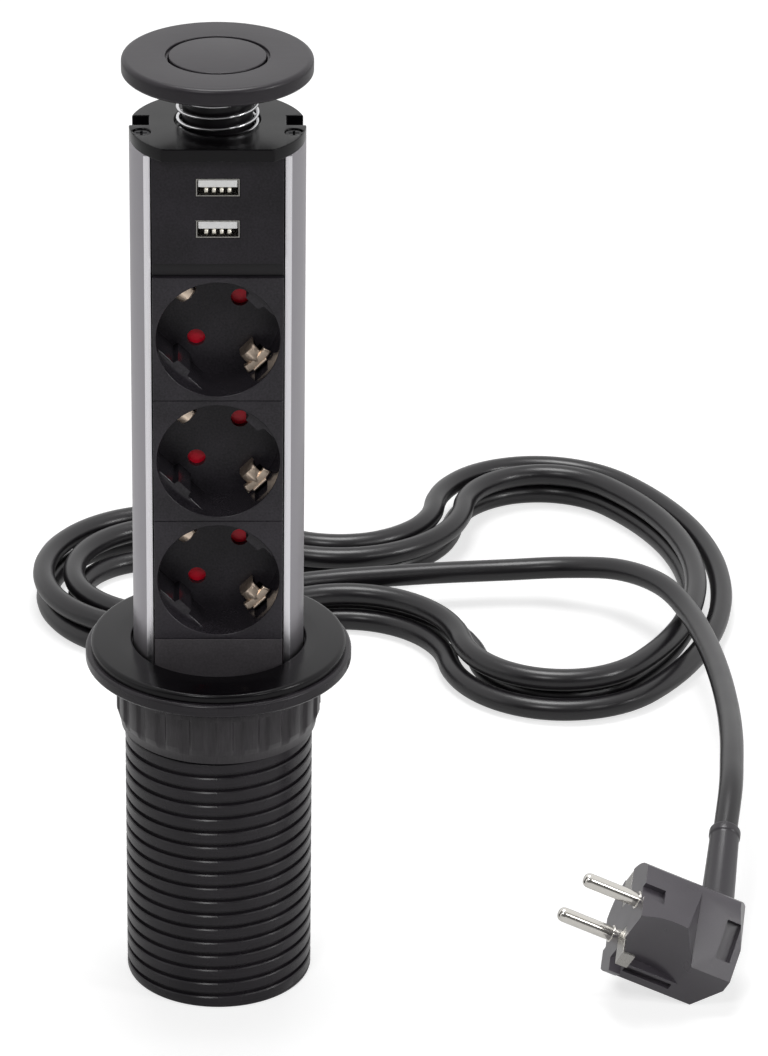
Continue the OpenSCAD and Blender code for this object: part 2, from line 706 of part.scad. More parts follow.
module lid_stem() {
    wall = stem_wall;
    color("#1f1f21") difference() {
        union() {
            translate([0, stem_y, plate_z - 8.4]) cylinder(r = stem_r, h = lid_z - plate_z + 8.4);
            translate([0, stem_y, lid_z]) ring(stem_r, stem_r - wall, 0.4);
        }
        translate([0, stem_y, shelf_z]) cylinder(r = stem_r - wall, h = 40);
        translate([0, stem_y, plate_z - 20]) cylinder(r = 1.4, h = 40);
        // Groove of the retainer
        translate([0, stem_y, retainer_z - seat_gap])
            ring(stem_r + 1, stem_r - 0.9, retainer_t + 2 * seat_gap);
    }
}
module stem_retainer() {
    color("#6a6a6e") translate([0, stem_y, retainer_z]) difference() {
        ring(stem_r + 2, stem_r - 0.8, retainer_t);
        translate([-tower_d, -stem_r - tower_d, -1]) cube([2 * tower_d, tower_d, retainer_t + 2]);
    }
}
module lid_spring() {
    color("#d6d6d6") tube(spring_path, spring_wire, 6);
}
module button_cap() {
    color("#505053") union() {
        translate([0, 0, lid_top - button_t]) rotate_extrude()
            polygon([[0, 0], [button_r, 0], [button_r, button_t - 0.4], [button_r - 0.4, button_t],
                [0, button_t]]);
        translate([0, plunger_y, lid_top - button_t - plunger_l]) cylinder(r = plunger_r, h = plunger_l);
        // Collar under the lid that keeps the button in
        translate([0, plunger_y, lid_z - 0.3 - collar_h]) cylinder(r = button_collar_r, h = collar_h);
    }
}
module button_spring() {
    color("#d0d0d0") tube(helix(button_spring_r, shelf_z + 0.45, lid_z - 0.3 - collar_h - 0.45, 3,
        button_spring_wire + 0.5, [0, plunger_y]), button_spring_wire, 6);
}

// Cord and plug
function tilted(v) =
    let (a = plug_tilt[0], b = plug_tilt[1], c = plug_tilt[2],
        p = [v[0], v[1] * cos(a) - v[2] * sin(a), v[1] * sin(a) + v[2] * cos(a)],
        q = [p[0] * cos(b) + p[2] * sin(b), p[1], p[2] * cos(b) - p[0] * sin(b)])
    [q[0] * cos(c) - q[1] * sin(c), q[0] * sin(c) + q[1] * cos(c), q[2]];
boot_end = plug_place + tilted([boot_x, 0, -boot_seat - boot_l]);
hank_end = last(hank_path);
tail_path = meet([[0, gland_y, gland_end + 12], [0, gland_y, gland_end]], TAIL_ROUTE,
    [hank_path[0], hank_run[0]]);
lead_path = meet([last(hank_run), hank_end], LEAD_ROUTE, [boot_end, boot_end + tilted([0, 0, 12])]);
function path_len(p) = [for (i = [1 : len(p) - 1]) norm(p[i] - p[i - 1])] * [for (i = [1 : len(p) - 1]) 1];
echo(cord_length = path_len(tail_path) + path_len(hank_path) + path_len(lead_path));

module cord_tail() { color("#3a3a3c") tube(tail_path, cord_d, 8); }
module cord_hank() { color("#3a3a3c") tube(hank_path, cord_d, 8); }
module cord_lead() { color("#3a3a3c") tube(lead_path, cord_d, 8); }

module at_plug() { translate(plug_place) rotate(plug_tilt) children(); }
// Prism along X from an outline in y and z
module along_x(l) { rotate([90, 0, 90]) linear_extrude(l) children(); }
module plug_body() {
    scoop_r = 26;
    color("#6c6c70") at_plug() difference() {
        intersection() {
            bar_x(plug_r, plug_l);
            translate([0, 0, -plug_r]) linear_extrude(plug_d) polygon([[0, -plug_flat],
                [plug_l - 6.5, -plug_flat], [plug_l, -3], [plug_l, 8],
                [plug_l - 4.5, plug_flat], [0, plug_flat]]);
            // Round flange at the face, flat grip behind it
            union() {
                bar_x(plug_r, 4);
                translate([0, -plug_r, -plug_r]) cube([plug_l, plug_d, plug_r + plug_near]);
            }
        }
        // Finger scoop over the lower rail
        translate([12, -7.8, plug_near - 3 + scoop_r]) bar_y(scoop_r, plug_d);
        // Bevelled corner of the grip behind a slanted edge
        intersection() {
            translate([15.9, plug_flat, plug_near - 0.8]) rotate([0, -11.4, 0]) translate([0, 0, -60])
                linear_extrude(120) polygon([[-1.23, 2], [60, 2], [60, -40], [24.5, -40]]);
            along_x(60) polygon([[28.1, -27.4], [60, -27.4], [60, 60], [-10.6, 60], [-10.6, 30.2]]);
        }
        // Pocket in the bevel and groove in the rail
        translate([33.2, 8.8, 1.3]) rotate([-56, 0, 0]) cube([5, 13, 6], center = true);
        translate([6, -11.6, plug_near - 1.6]) cube([16.5, 2.6, 10]);
        for (side = [-1, 1]) {
            // Pin bores, key grooves and seats of the earth strips
            translate([-1, side * pin_spacing / 2, 0]) bar_x(pin_d / 2 + 0.65, root_l + 1.1);
            translate([-1, side * plug_flat - 2, -2.9]) cube([8.2, 4, 5.8]);
            mirror([0, 0, side < 0 ? 1 : 0]) {
                translate([-1, -3.1, 6]) cube([1.7, 6.2, plug_r]);
                translate([-1, -3.1, plug_r - 2]) cube([5.4, 6.2, 4]);
            }
        }
        translate([boot_x, 0, -2 * plug_r]) cylinder(r = boot_r + seat_gap, h = 2 * plug_r - boot_seat);
    }
}
// Each pin has a thicker root that sits in the body, flush with its face
module plug_pins() {
    color("#d2d2d0") at_plug() for (side = [-1, 1]) translate([0, side * pin_spacing / 2, 0]) union() {
        translate([-pin_l + pin_d / 2, 0, 0]) bar_x(pin_d / 2, pin_l - pin_d / 2);
        translate([-pin_l + pin_d / 2, 0, 0]) sphere(d = pin_d);
        bar_x(pin_d / 2 + 0.6, root_l);
    }
}
module plug_earth_strips() {
    color("#cfcdc6") at_plug() for (side = [-1, 1]) mirror([0, 0, side < 0 ? 1 : 0]) union() {
        translate([0, -3, 6.1]) cube([0.6, 6, plug_r - 7]);
        translate([0, -3, plug_r - 1.9]) cube([4.2, 6, 1]);
    }
}
module plug_boot() {
    color("#4a4a4d") at_plug() translate([boot_x, 0, -boot_seat]) rotate([180, 0, 0]) union() {
        cylinder(r = boot_r, h = 4);
        translate([0, 0, 4]) cylinder(r1 = boot_r - 0.4, r2 = boot_end_r - 0.4, h = boot_l - 7);
        translate([0, 0, boot_l - 3]) cylinder(r = boot_end_r, h = 3);
    }
}

threaded_sleeve();
bezel_ring();
guide_ring();
nut_washer();
lock_nut();
tower_profile();
top_plate();
top_screws();
foot_cap();
foot_screws();
cable_gland();
usb_module();
usb_shell(1);  // usb_shell_upper
usb_shell(0);  // usb_shell_lower
usb_tongue(1);  // usb_tongue_upper
usb_tongue(0);  // usb_tongue_lower
usb_contacts(1);  // usb_contacts_upper
usb_contacts(0);  // usb_contacts_lower
usb_board();
band_strip();
blank_panel();
socket(2);  // socket_upper
socket(1);  // socket_middle
socket(0);  // socket_lower
pin_plate(2);  // pin_plate_upper
pin_plate(1);  // pin_plate_middle
pin_plate(0);  // pin_plate_lower
contact_carrier(2);  // contact_carrier_upper
contact_carrier(1);  // contact_carrier_middle
contact_carrier(0);  // contact_carrier_lower
shutter(2);  // shutter_upper
shutter(1);  // shutter_middle
shutter(0);  // shutter_lower
earth_clip(2);  // earth_clip_upper
earth_clip(1);  // earth_clip_middle
earth_clip(0);  // earth_clip_lower
busbar(-1);  // live_busbar
busbar(1);  // neutral_busbar
lid_disc();
lid_stem();
stem_retainer();
lid_spring();
button_cap();
button_spring();
cord_tail();
cord_hank();
cord_lead();
plug_body();
plug_pins();
plug_earth_strips();
plug_boot();
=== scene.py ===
"""Pop up desk socket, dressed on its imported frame."""
import json
from math import cos, pi, radians, sin

import bmesh
import bpy
import numpy as np
from bpy.props import FloatProperty, FloatVectorProperty, IntProperty, PointerProperty
from mathutils import Euler, Matrix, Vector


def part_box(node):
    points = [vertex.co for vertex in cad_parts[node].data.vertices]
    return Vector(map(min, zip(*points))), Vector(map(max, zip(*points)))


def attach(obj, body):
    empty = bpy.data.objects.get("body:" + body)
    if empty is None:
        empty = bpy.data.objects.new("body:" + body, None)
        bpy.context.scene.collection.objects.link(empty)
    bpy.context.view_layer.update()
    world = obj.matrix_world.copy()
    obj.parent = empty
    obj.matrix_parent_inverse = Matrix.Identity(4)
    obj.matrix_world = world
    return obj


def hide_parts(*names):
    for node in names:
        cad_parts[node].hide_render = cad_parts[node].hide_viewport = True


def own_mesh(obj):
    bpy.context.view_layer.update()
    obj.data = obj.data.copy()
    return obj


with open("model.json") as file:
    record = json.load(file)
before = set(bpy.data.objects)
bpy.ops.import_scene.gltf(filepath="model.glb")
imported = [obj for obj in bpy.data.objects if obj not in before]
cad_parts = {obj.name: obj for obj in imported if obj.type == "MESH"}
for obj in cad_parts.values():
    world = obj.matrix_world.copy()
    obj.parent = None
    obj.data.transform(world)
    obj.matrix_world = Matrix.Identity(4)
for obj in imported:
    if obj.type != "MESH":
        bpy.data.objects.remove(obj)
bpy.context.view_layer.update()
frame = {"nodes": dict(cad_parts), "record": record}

BODY_OF = {node: body for body, nodes in frame["record"]["behaviour"]["bodies"].items() for node in nodes}

bl_info = {
    "name": "Pop up desk socket",
    "version": (1, 0, 0),
    "blender": (4, 5, 0),
    "location": "3D View > Sidebar > Desk socket",
    "description": "Dresses the packed frame of a pop up desk socket with its surfaces and finishes",
    "category": "Object",
}


def linear(code):
    """An sRGB hex colour as linear red, green and blue."""
    s = np.array([int(code[i:i + 2], 16) for i in (1, 3, 5)]) / 255
    return tuple(np.where(s <= 0.04045, s / 12.92, ((s + 0.055) / 1.055) ** 2.4).tolist())


def length(name, description, millimetres):
    """A size that the user may change, kept in metres."""
    return FloatProperty(name=name, description=description, default=millimetres / 1000, min=0.0001,
                         unit="LENGTH", precision=5)


def tint(name, description, code):
    """A colour that the user may change."""
    return FloatVectorProperty(name=name, description=description, default=linear(code), size=3,
                               subtype="COLOR", min=0, max=1)


class SocketSizes(bpy.types.PropertyGroup):
    """Sizes of the surfaces that the scene adds to the frame."""
    thread_pitch: length("Thread pitch", "Rise of the sleeve's thread in one turn", 5)
    groove_width: length("Groove width", "Width of the thread's groove at the crest", 1.7)
    groove_depth: length("Groove depth", "Depth of the thread's groove", 1.25)
    rib_depth: length("Rib depth", "How far the nut's ribs stand out", 0.9)
    nut_ribs: IntProperty(name="Nut ribs", description="Number of grip ribs round the nut", default=24, min=8)
    spring_wire: length("Spring wire", "Diameter of the lid spring's wire", 1.05)
    spring_turns: FloatProperty(name="Spring turns", description="Open turns of the lid spring", default=4.2)
    cord_diameter: length("Cord diameter", "Outer diameter of the cord", 8)
    edge: length("Edge softness", "Width of the rounding on moulded edges", 0.35)


class SocketColours(bpy.types.PropertyGroup):
    """Colours of the finishes."""
    sleeve: tint("Sleeve", "Charcoal plastic of the sleeve, flange and nut", "#272428")
    bezel: tint("Bezel", "Polished ring round the tower", "#0c0a0d")
    panel: tint("Panel", "Grained plastic of the outlets and panels", "#2e2b30")
    lid: tint("Lid", "Satin plastic of the lid and the button", "#2f2c30")
    inner: tint("Inner plastic", "Plastic of the stem, foot and guides", "#1a181b")
    metal: tint("Aluminium", "Anodised profile", "#a4a1a6")
    # Colour of the front lips: a paler copy of the aluminium, a painted reflection
    lip_sheen: tint("Machined edge", "Bright edges of the profile", "#f4f2f6")
    shutter: tint("Shutter", "Red plastic behind the pin holes", "#ff1434")
    clip: tint("Earth clip", "Pale nickel brass", "#f8e4d0")
    cord: tint("Cord", "Sheath of the cord", "#171518")
    plug: tint("Plug", "Moulded plug", "#474349")


# Surfaces on grids

def grid_faces(rows, cols, wrap_rows=False, wrap_cols=False):
    """Quads of a grid of rows by cols points; a wrapped side joins its last line to its first."""
    i = np.arange(rows if wrap_rows else rows - 1)
    j = np.arange(cols if wrap_cols else cols - 1)
    i, j = (a.ravel() for a in np.meshgrid(i, j, indexing="ij"))
    k, m = (i + 1) % rows, (j + 1) % cols
    return np.stack([i * cols + j, i * cols + m, k * cols + m, k * cols + j], 1)


def lathe(profile, steps=144):
    """A closed profile of (r, z) points turned about Z: x = r cos a, y = r sin a."""
    p = np.asarray(profile, float)
    a = np.linspace(0, 2 * pi, steps, endpoint=False)[:, None]
    points = np.stack([p[:, 0] * np.cos(a), p[:, 0] * np.sin(a), p[:, 1] + 0 * a], 2)
    return points.reshape(-1, 3), grid_faces(steps, len(p), True, True)


def rounded(corners, radii, steps=5):
    """A closed polygon whose corners are arcs that meet both sides, set back by each corner's radius.

    Each arc is the quadratic curve with the corner as its middle control point.
    """
    c = np.asarray(corners, float)
    r = np.asarray(radii, float)[:, None]
    before, after = np.roll(c, 1, 0) - c, np.roll(c, -1, 0) - c
    a = c + before / np.linalg.norm(before, axis=1, keepdims=True) * r
    b = c + after / np.linalg.norm(after, axis=1, keepdims=True) * r
    t = np.linspace(0, 1, steps)[None, :, None]
    arcs = a[:, None] * (1 - t) ** 2 + 2 * c[:, None] * t * (1 - t) + b[:, None] * t ** 2
    return arcs.reshape(-1, 2)


def through(points, per):
    """Catmull-Rom curve through points, per steps between each two, from the second to the last but one."""
    p = np.asarray(points, float)
    u = (np.arange(per) / per)[None, :, None]
    a, b, c, d = (p[k:len(p) - 3 + k, None] for k in range(4))
    bend, twist = 2 * a - 5 * b + 4 * c - d, 3 * b - a - 3 * c + d
    curve = 0.5 * (2 * b + (c - a) * u + bend * u ** 2 + twist * u ** 3)
    return np.vstack([curve.reshape(-1, 3), p[-2:-1]])


def sweep(path, radius, sides, lean=(0.35, 0, 1)):
    """A round tube: at each station a circle square to the path, turned so that it never twists.

    The circle's axes are the path's direction crossed with a fixed leaning vector, and that crossed back.
    Each end is closed by drawing its last ring in to the middle.
    """
    p = np.asarray(path, float)
    t = np.gradient(p, axis=0)
    t /= np.linalg.norm(t, axis=1, keepdims=True)
    side = np.cross(t, np.asarray(lean, float))
    side /= np.linalg.norm(side, axis=1, keepdims=True)
    over = np.cross(side, t)
    a = np.linspace(0, 2 * pi, sides, endpoint=False)[None, :, None]
    rings = p[:, None] + radius * (np.cos(a) * side[:, None] + np.sin(a) * over[:, None])
    rings = np.concatenate([np.repeat(p[:1, None], sides, 1), rings, np.repeat(p[-1:, None], sides, 1)])
    return rings.reshape(-1, 3), grid_faces(len(p) + 2, sides, False, True)


def helix(radius, low, high, turns, closed, y):
    """A coil from low to high: three quarters of a closed turn at each end and open turns between."""
    ends, per_turn, start = 0.75, 40, radians(200)
    u = np.linspace(0, turns + 2 * ends, int((turns + 2 * ends) * per_turn))
    rise = high - low - 2 * ends * closed
    z = np.where(u < ends, low + u * closed,
                 np.where(u > ends + turns, high - (2 * ends + turns - u) * closed,
                          low + ends * closed + rise * (u - ends) / turns))
    a = 2 * pi * u + start
    return np.stack([radius * np.cos(a), y + radius * np.sin(a), z], 1)


def finish_mesh(mesh, sharp):
    """Welds the grid's seams and poles, turns faces outwards and keeps edges sharper than the angle crisp."""
    bm = bmesh.new()
    bm.from_mesh(mesh)
    bmesh.ops.remove_doubles(bm, verts=bm.verts, dist=1.5e-6)
    bmesh.ops.dissolve_degenerate(bm, edges=bm.edges, dist=1e-6)
    bmesh.ops.recalc_face_normals(bm, faces=bm.faces)
    bm.to_mesh(mesh)
    bm.free()
    mesh.polygons.foreach_set("use_smooth", np.ones(len(mesh.polygons), bool))
    mesh.set_sharp_from_angle(angle=radians(sharp))


def place(name, mesh, material, nodes):
    """Puts a mesh into the scene on the body of the nodes that it stands for."""
    mesh.materials.clear()
    mesh.materials.append(material)
    piece = bpy.data.objects.new(name, mesh)
    bpy.context.scene.collection.objects.link(piece)
    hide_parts(*nodes)
    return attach(piece, BODY_OF[nodes[0]])


def surface(name, shape, material, nodes, sharp=38):
    """A piece from points in millimetres and quads."""
    points, faces = shape
    mesh = bpy.data.meshes.new(name)
    mesh.from_pydata((points / 1000).tolist(), [], faces.tolist())
    finish_mesh(mesh, sharp)
    return place(name, mesh, material, nodes)


def softened(node, material, width, segments=2, whole=False):
    """A copy of a node with its triangles paired and its sharp edges rounded, in place of the node.

    Where whole is set, for a body whose flat faces have no holes, each flat face becomes one polygon.
    """
    mesh = frame["nodes"][node].data.copy()
    mesh.name = node + "_moulded"
    bm = bmesh.new()
    bm.from_mesh(mesh)
    bmesh.ops.remove_doubles(bm, verts=bm.verts, dist=1e-6)
    if whole:
        bmesh.ops.dissolve_limit(bm, angle_limit=radians(0.4), verts=bm.verts, edges=bm.edges)
    else:
        bmesh.ops.join_triangles(bm, faces=bm.faces, angle_face_threshold=radians(0.4),
                                 angle_shape_threshold=radians(180))
    bm.to_mesh(mesh)
    bm.free()
    mesh.polygons.foreach_set("use_smooth", np.ones(len(mesh.polygons), bool))
    piece = place(node + "_moulded", mesh, material, [node])
    bevel = piece.modifiers.new("Soft edges", "BEVEL")
    bevel.width = width
    bevel.segments = segments
    bevel.limit_method = "ANGLE"
    bevel.angle_limit = radians(34)
    bevel.use_clamp_overlap = whole
    bevel.loop_slide = whole
    return even(piece)


def even(piece):
    """Weighs the shading by the faces' sizes, so that flat faces stay flat up to their rounded edges."""
    normals = piece.modifiers.new("Even shading", "WEIGHTED_NORMAL")
    normals.keep_sharp = True
    return piece


def arch_cut(piece, half):
    """Cuts the cord's arch, a slot with a round top, through the sleeve's rear wall and applies the cut."""
    a = np.linspace(0, pi, 17)
    top = np.stack([half * np.cos(a), half + half * np.sin(a)], 1)
    outline = np.concatenate([[[half, -1]], top, [[-half, -1]]])
    count = len(outline)
    y = np.array([20.0, 50.0])
    points = np.stack([np.tile(outline[:, 0], 2), np.repeat(y, count), np.tile(outline[:, 1], 2)], 1)
    mesh = bpy.data.meshes.new("arch")
    sides = grid_faces(2, count, False, True).tolist()
    ends = [list(range(count)), list(range(count, 2 * count))]
    mesh.from_pydata((points / 1000).tolist(), [], sides + ends)
    bm = bmesh.new()
    bm.from_mesh(mesh)
    bmesh.ops.recalc_face_normals(bm, faces=bm.faces)
    bm.to_mesh(mesh)
    bm.free()
    tool = bpy.data.objects.new("arch", mesh)
    bpy.context.scene.collection.objects.link(tool)
    cut = piece.modifiers.new("Arch", "BOOLEAN")
    cut.object = tool
    cut.operation = "DIFFERENCE"
    cut.solver = "EXACT"
    bpy.context.view_layer.update()
    result = piece.evaluated_get(bpy.context.evaluated_depsgraph_get())
    made = bpy.data.meshes.new_from_object(result)
    piece.modifiers.clear()
    piece.data = made
    bpy.data.objects.remove(tool)


def thicken(piece, thickness):
    """Gives a strip its thickness, half on each side."""
    wall = piece.modifiers.new("Strip", "SOLIDIFY")
    wall.thickness = thickness
    wall.offset = 0


def dress(node, material):
    """Gives a node of the frame its finish and leaves its shape as it is."""
    mesh = frame["nodes"][node].data
    mesh.materials.clear()
    mesh.materials.append(material)


# Finishes

def add(tree, kind, inputs=None, **settings):
    """Adds a node, sets its properties and gives each input a value or a (node, output) to read."""
    node = tree.nodes.new(kind)
    for name, value in settings.items():
        setattr(node, name, value)
    for name, value in (inputs or {}).items():
        if isinstance(value, tuple) and isinstance(value[0], bpy.types.Node):
            tree.links.new(value[0].outputs[value[1]], node.inputs[name])
        else:
            node.inputs[name].default_value = value
    return node


def blank(name):
    """An empty node material and its tree."""
    material = bpy.data.materials.new(name)
    material.use_nodes = True
    material.node_tree.nodes.clear()
    return material, material.node_tree


def spread(colour, low, high):
    """A darker and a lighter colour, as shares of a colour."""
    return (tuple(min(1, c * k) for c in colour) + (1,) for k in (low, high))


# Size of the clouds in a moulding's colour, in millimetres, and how far its gloss strays
CLOUD_MM, STRAY = 14, 0.06
# How strongly a moulding's grain, the same grain on polished places, and a metal's lines show as relief
GRAIN_SHARE, POLISHED_SHARE, LINE_SHARE = 0.5, 0.04, 0.35


def moulded(name, colour, roughness, grain, depth, mottle=0.25, specular=0.5, stretch=(1, 1, 1), inside=None):
    """Moulded plastic: even colour, a fine tool grain in its gloss and slightly uneven sheen.

    grain is the grain's size and depth its height, in millimetres, mottle the share by which the colour
    varies, and stretch how many times longer the grain is along each axis. inside, where given, is a place
    along Y in millimetres and a roughness: past that place the tool was polished and the grain ends.
    """
    material, tree = blank(name)
    where = add(tree, "ShaderNodeTexCoord")
    along = add(tree, "ShaderNodeMapping", {"Vector": (where, "Object"), "Scale": [1 / k for k in stretch]})
    fine = add(tree, "ShaderNodeTexNoise",
               {"Vector": (along, "Vector"), "Scale": 1000 / grain, "Detail": 2.0})
    broad = add(tree, "ShaderNodeTexNoise",
                {"Vector": (where, "Object"), "Scale": 1000 / CLOUD_MM, "Detail": 3.0})
    dark, light = spread(colour, 1 - mottle, 1 + mottle)
    both = add(tree, "ShaderNodeMath", {0: (fine, "Fac"), 1: (broad, "Fac")}, operation="ADD")
    share = add(tree, "ShaderNodeMapRange", {"Value": (both, "Value"), "From Min": 0.7, "From Max": 1.3})
    shade = add(tree, "ShaderNodeMix", {"Factor": (share, "Result"), "A": dark, "B": light}, data_type="RGBA")
    sheen = add(tree, "ShaderNodeMapRange",
                {"Value": (broad, "Fac"), "To Min": roughness - STRAY, "To Max": roughness + STRAY})
    bump = add(tree, "ShaderNodeBump",
               {"Height": (fine, "Fac"), "Strength": GRAIN_SHARE, "Distance": depth / 1000})
    if inside:
        start, polished = inside
        axes = add(tree, "ShaderNodeSeparateXYZ", {"Vector": (where, "Object")})
        within = add(tree, "ShaderNodeMapRange",
                     {"Value": (axes, "Y"), "From Min": start / 1000, "From Max": (start + 0.2) / 1000,
                      "To Min": GRAIN_SHARE, "To Max": POLISHED_SHARE})
        tree.links.new(within.outputs["Result"], bump.inputs["Strength"])
        sheen = add(tree, "ShaderNodeMapRange",
                    {"Value": (within, "Result"), "From Min": GRAIN_SHARE, "From Max": POLISHED_SHARE,
                     "To Min": (sheen, "Result"), "To Max": polished})
    body = add(tree, "ShaderNodeBsdfPrincipled",
               {"Base Color": (shade, "Result"), "Roughness": (sheen, "Result"), "Normal": (bump, "Normal"),
                "IOR": 1.52, "Specular IOR Level": specular})
    add(tree, "ShaderNodeOutputMaterial", {"Surface": (body, "BSDF")})
    return material


def metal(name, colour, roughness, line, streak, depth):
    """Bare or plated metal: drawn or rolled lines along Z in its height and gloss.

    line is the lines' spacing and depth their height, in millimetres, and streak their length in spacings.
    """
    material, tree = blank(name)
    where = add(tree, "ShaderNodeTexCoord")
    along = add(tree, "ShaderNodeMapping", {"Vector": (where, "Object"), "Scale": (1, 1, 1 / streak)})
    lines = add(tree, "ShaderNodeTexNoise",
                {"Vector": (along, "Vector"), "Scale": 1000 / line, "Detail": 3.0})
    sheen = add(tree, "ShaderNodeMapRange",
                {"Value": (lines, "Fac"), "From Min": 0.3, "From Max": 0.7,
                 "To Min": roughness - 0.05, "To Max": roughness + 0.07})
    dark, light = spread(colour, 0.93, 1.05)
    shade = add(tree, "ShaderNodeMix", {"Factor": (lines, "Fac"), "A": dark, "B": light}, data_type="RGBA")
    bump = add(tree, "ShaderNodeBump",
               {"Height": (lines, "Fac"), "Strength": LINE_SHARE, "Distance": depth / 1000})
    body = add(tree, "ShaderNodeBsdfPrincipled",
               {"Base Color": (shade, "Result"), "Metallic": 1.0, "Roughness": (sheen, "Result"),
                "Normal": (bump, "Normal")})
    add(tree, "ShaderNodeOutputMaterial", {"Surface": (body, "BSDF")})
    return material


FINISHES = {}


def finish(name):
    """The finish of that name, made once from the colours in the scene's settings."""
    if name in FINISHES:
        return FINISHES[name]
    c = bpy.context.scene.socket_colours
    made = {
        # ABS from a turned tool: charcoal, with a soft sheen and faint streaks round the sleeve, 0.4 mm apart
        "sleeve_abs": lambda: moulded(name, c.sleeve, 0.27, 0.4, 0.01, 0.25, 0.26, (30, 30, 1)),
        # The nut's ABS: a little paler and duller than the sleeve's
        "nut_abs": lambda: moulded(name, linear("#383538"), 0.34, 0.5, 0.01, 0.25, 0.3, (1, 1, 12)),
        # Polished ABS: nearly black with a clear, slightly soft reflection
        "bezel_abs": lambda: moulded(name, c.bezel, 0.2, 0.8, 0.002, 0.1, 0.2),
        # Spark eroded ABS: black with a coarse sparkling grain, drawn at 0.7 mm so that it shows
        "panel_abs": lambda: moulded(name, c.panel, 0.37, 0.7, 0.08, 0.4, 0.25),
        # The charging panel: the same plastic and grain, a little darker
        "port_abs": lambda: moulded(name, linear("#242126"), 0.37, 0.7, 0.08, 0.4, 0.25),
        # The outlets' cups: the same grain on the front, polished in the recess
        "outlet_abs": lambda: moulded(name, c.panel, 0.37, 0.7, 0.08, 0.4, 0.3, (1, 1, 1),
                                      (FRONT_Y + 0.05, 0.2)),
        # Plain panel at the foot: the same plastic, smoother, and paler as a painted sheen that stands for
        # the soft reflection on it
        "strip_abs_painted_sheen": lambda: moulded(name, linear("#4b484b"), 0.42, 0.7, 0.02, 0.2, 0.3),
        # Satin ABS of the lid: mid grey under the light from above, with faint streaks across
        "lid_abs": lambda: moulded(name, c.lid, 0.34, 0.45, 0.006, 0.12, 0.26, (14, 2, 1)),
        # Plain nylon of hidden and sliding pieces
        "inner_nylon": lambda: moulded(name, c.inner, 0.34, 0.6, 0.006, 0.12, 0.3),
        # Anodised aluminium, drawn through a die along its length
        "anodised_aluminium": lambda: metal(name, c.metal, 0.36, 0.3, 160, 0.01),
        # The profile's front lips: the same metal in a paler copy, painted brighter to stand for the lips'
        # reflection
        "lip_aluminium_painted_sheen": lambda: metal(name, c.lip_sheen, 0.3, 0.3, 160, 0.006),
        # Drawn spring wire with a bright nickel coat
        "spring_wire": lambda: metal(name, linear("#d6d6d8"), 0.16, 0.3, 6, 0.002),
        # Zinc plated screw steel
        "zinc_steel": lambda: metal(name, linear("#7d7d80"), 0.34, 0.4, 1, 0.006),
        # Blackened steel of the screws on top
        "black_steel": lambda: metal(name, linear("#38383a"), 0.36, 0.4, 1, 0.006),
        # Nickel plate on brass pins
        "nickel_plate": lambda: metal(name, linear("#d8d5cf"), 0.14, 0.6, 3, 0.002),
        # Duller nickel on pressed strips and the ports' shells
        "dull_nickel": lambda: metal(name, linear("#a09e9a"), 0.28, 0.5, 3, 0.003),
        # Pale nickel brass strip, rolled and bent
        "clip_brass": lambda: metal(name, c.clip, 0.4, 0.3, 4, 0.006),
        # Ports' contacts, pale against the ports' shade
        "pale_contact": lambda: metal(name, linear("#fff8ec"), 0.5, 0.4, 4, 0.004),
        # Copper alloy of contacts and bars
        "contact_brass": lambda: metal(name, linear("#b28f48"), 0.3, 0.4, 4, 0.006),
        # Glossy polyamide shutters
        "shutter_nylon": lambda: moulded(name, c.shutter, 0.3, 0.5, 0.008, 0.12, 0.3),
        # Off-white polymer of the ports' tongues
        "tongue_polymer": lambda: moulded(name, linear("#fdfdfc"), 0.35, 0.4, 0.006, 0.02, 0.5),
        # Glass fibre board under green lacquer
        "board_lacquer": lambda: moulded(name, linear("#1f4a33"), 0.35, 0.9, 0.01, 0.2, 0.5),
        # Soft PVC sheath: dark grey with a soft long highlight and faint drawing marks
        "cord_pvc": lambda: moulded(name, c.cord, 0.3, 1.2, 0.02, 0.15, 0.5),
        # Moulded PVC plug with a fine matt tool grain
        "plug_pvc": lambda: moulded(name, c.plug, 0.3, 0.35, 0.008, 0.1, 0.7),
        # The boot: the same PVC as the plug, smoother, and darker as painted shade
        "boot_pvc_painted_shade": lambda: moulded(name, linear("#2a272c"), 0.32, 0.5, 0.008, 0.1, 0.5),
    }
    FINISHES[name] = made[name]()
    return FINISHES[name]


# The cord's route, in millimetres, as in the part's source

GLAND_Y = -5.0
GLAND_END = 48.0
TAIL = np.array([
    [0, -4.6, 36], [0, -2.2, 25.4], [0, 4.4, 15.8], [0, 14.4, 9], [0, 27, 6.2], [0, 44, 5.2],
    [1, 72, 4.5], [5, 110, 4.6], [11, 150, 7], [16, 182, 14.4], [18.5, 205, 21], [19.5, 224, 22.4],
    [19.4, 240, 22], [17.8, 252, 16.8], [13.6, 264, 10.6], [5.8, 274.6, 6.2], [-5.4, 281.3, 4.5]])
LEAD = np.array([
    [62, 251.4, 12.9], [82, 254, 12.9], [106, 256, 13], [128, 254, 15], [147, 244, 19],
    [161, 226, 21.8], [169, 203, 22.4], [173, 174, 24.8], [174.6, 144, 28.4], [174.6, 113, 32.4],
    [173.4, 86, 35.8], [171.6, 65, 37.6], [169.6, 46, 37.6]])
HANK_Y, LOBE_X, LOBE_R, WAIST_HALF, WAIST_R = 255.0, -17.0, 52.0, 25.0, 34.0
CORNER_R, CORNER_Y, END_R, START_A, LEAVE_A = 44.0, 50.0, 120.0, 110.0, 100.0
HANK_LOOPS, HANK_STEP, CORD_Z, LAYER = 3, 11.0, 4.3, 8.6
PLUG_PLACE, PLUG_TILT = np.array([129.8, -22.9, 29.4]), (109.5, 24.4, -0.8)
BOOT_X, BOOT_SEAT, BOOT_L, PIN_OFF = 31.3, 12.0, 41.0, 9.5


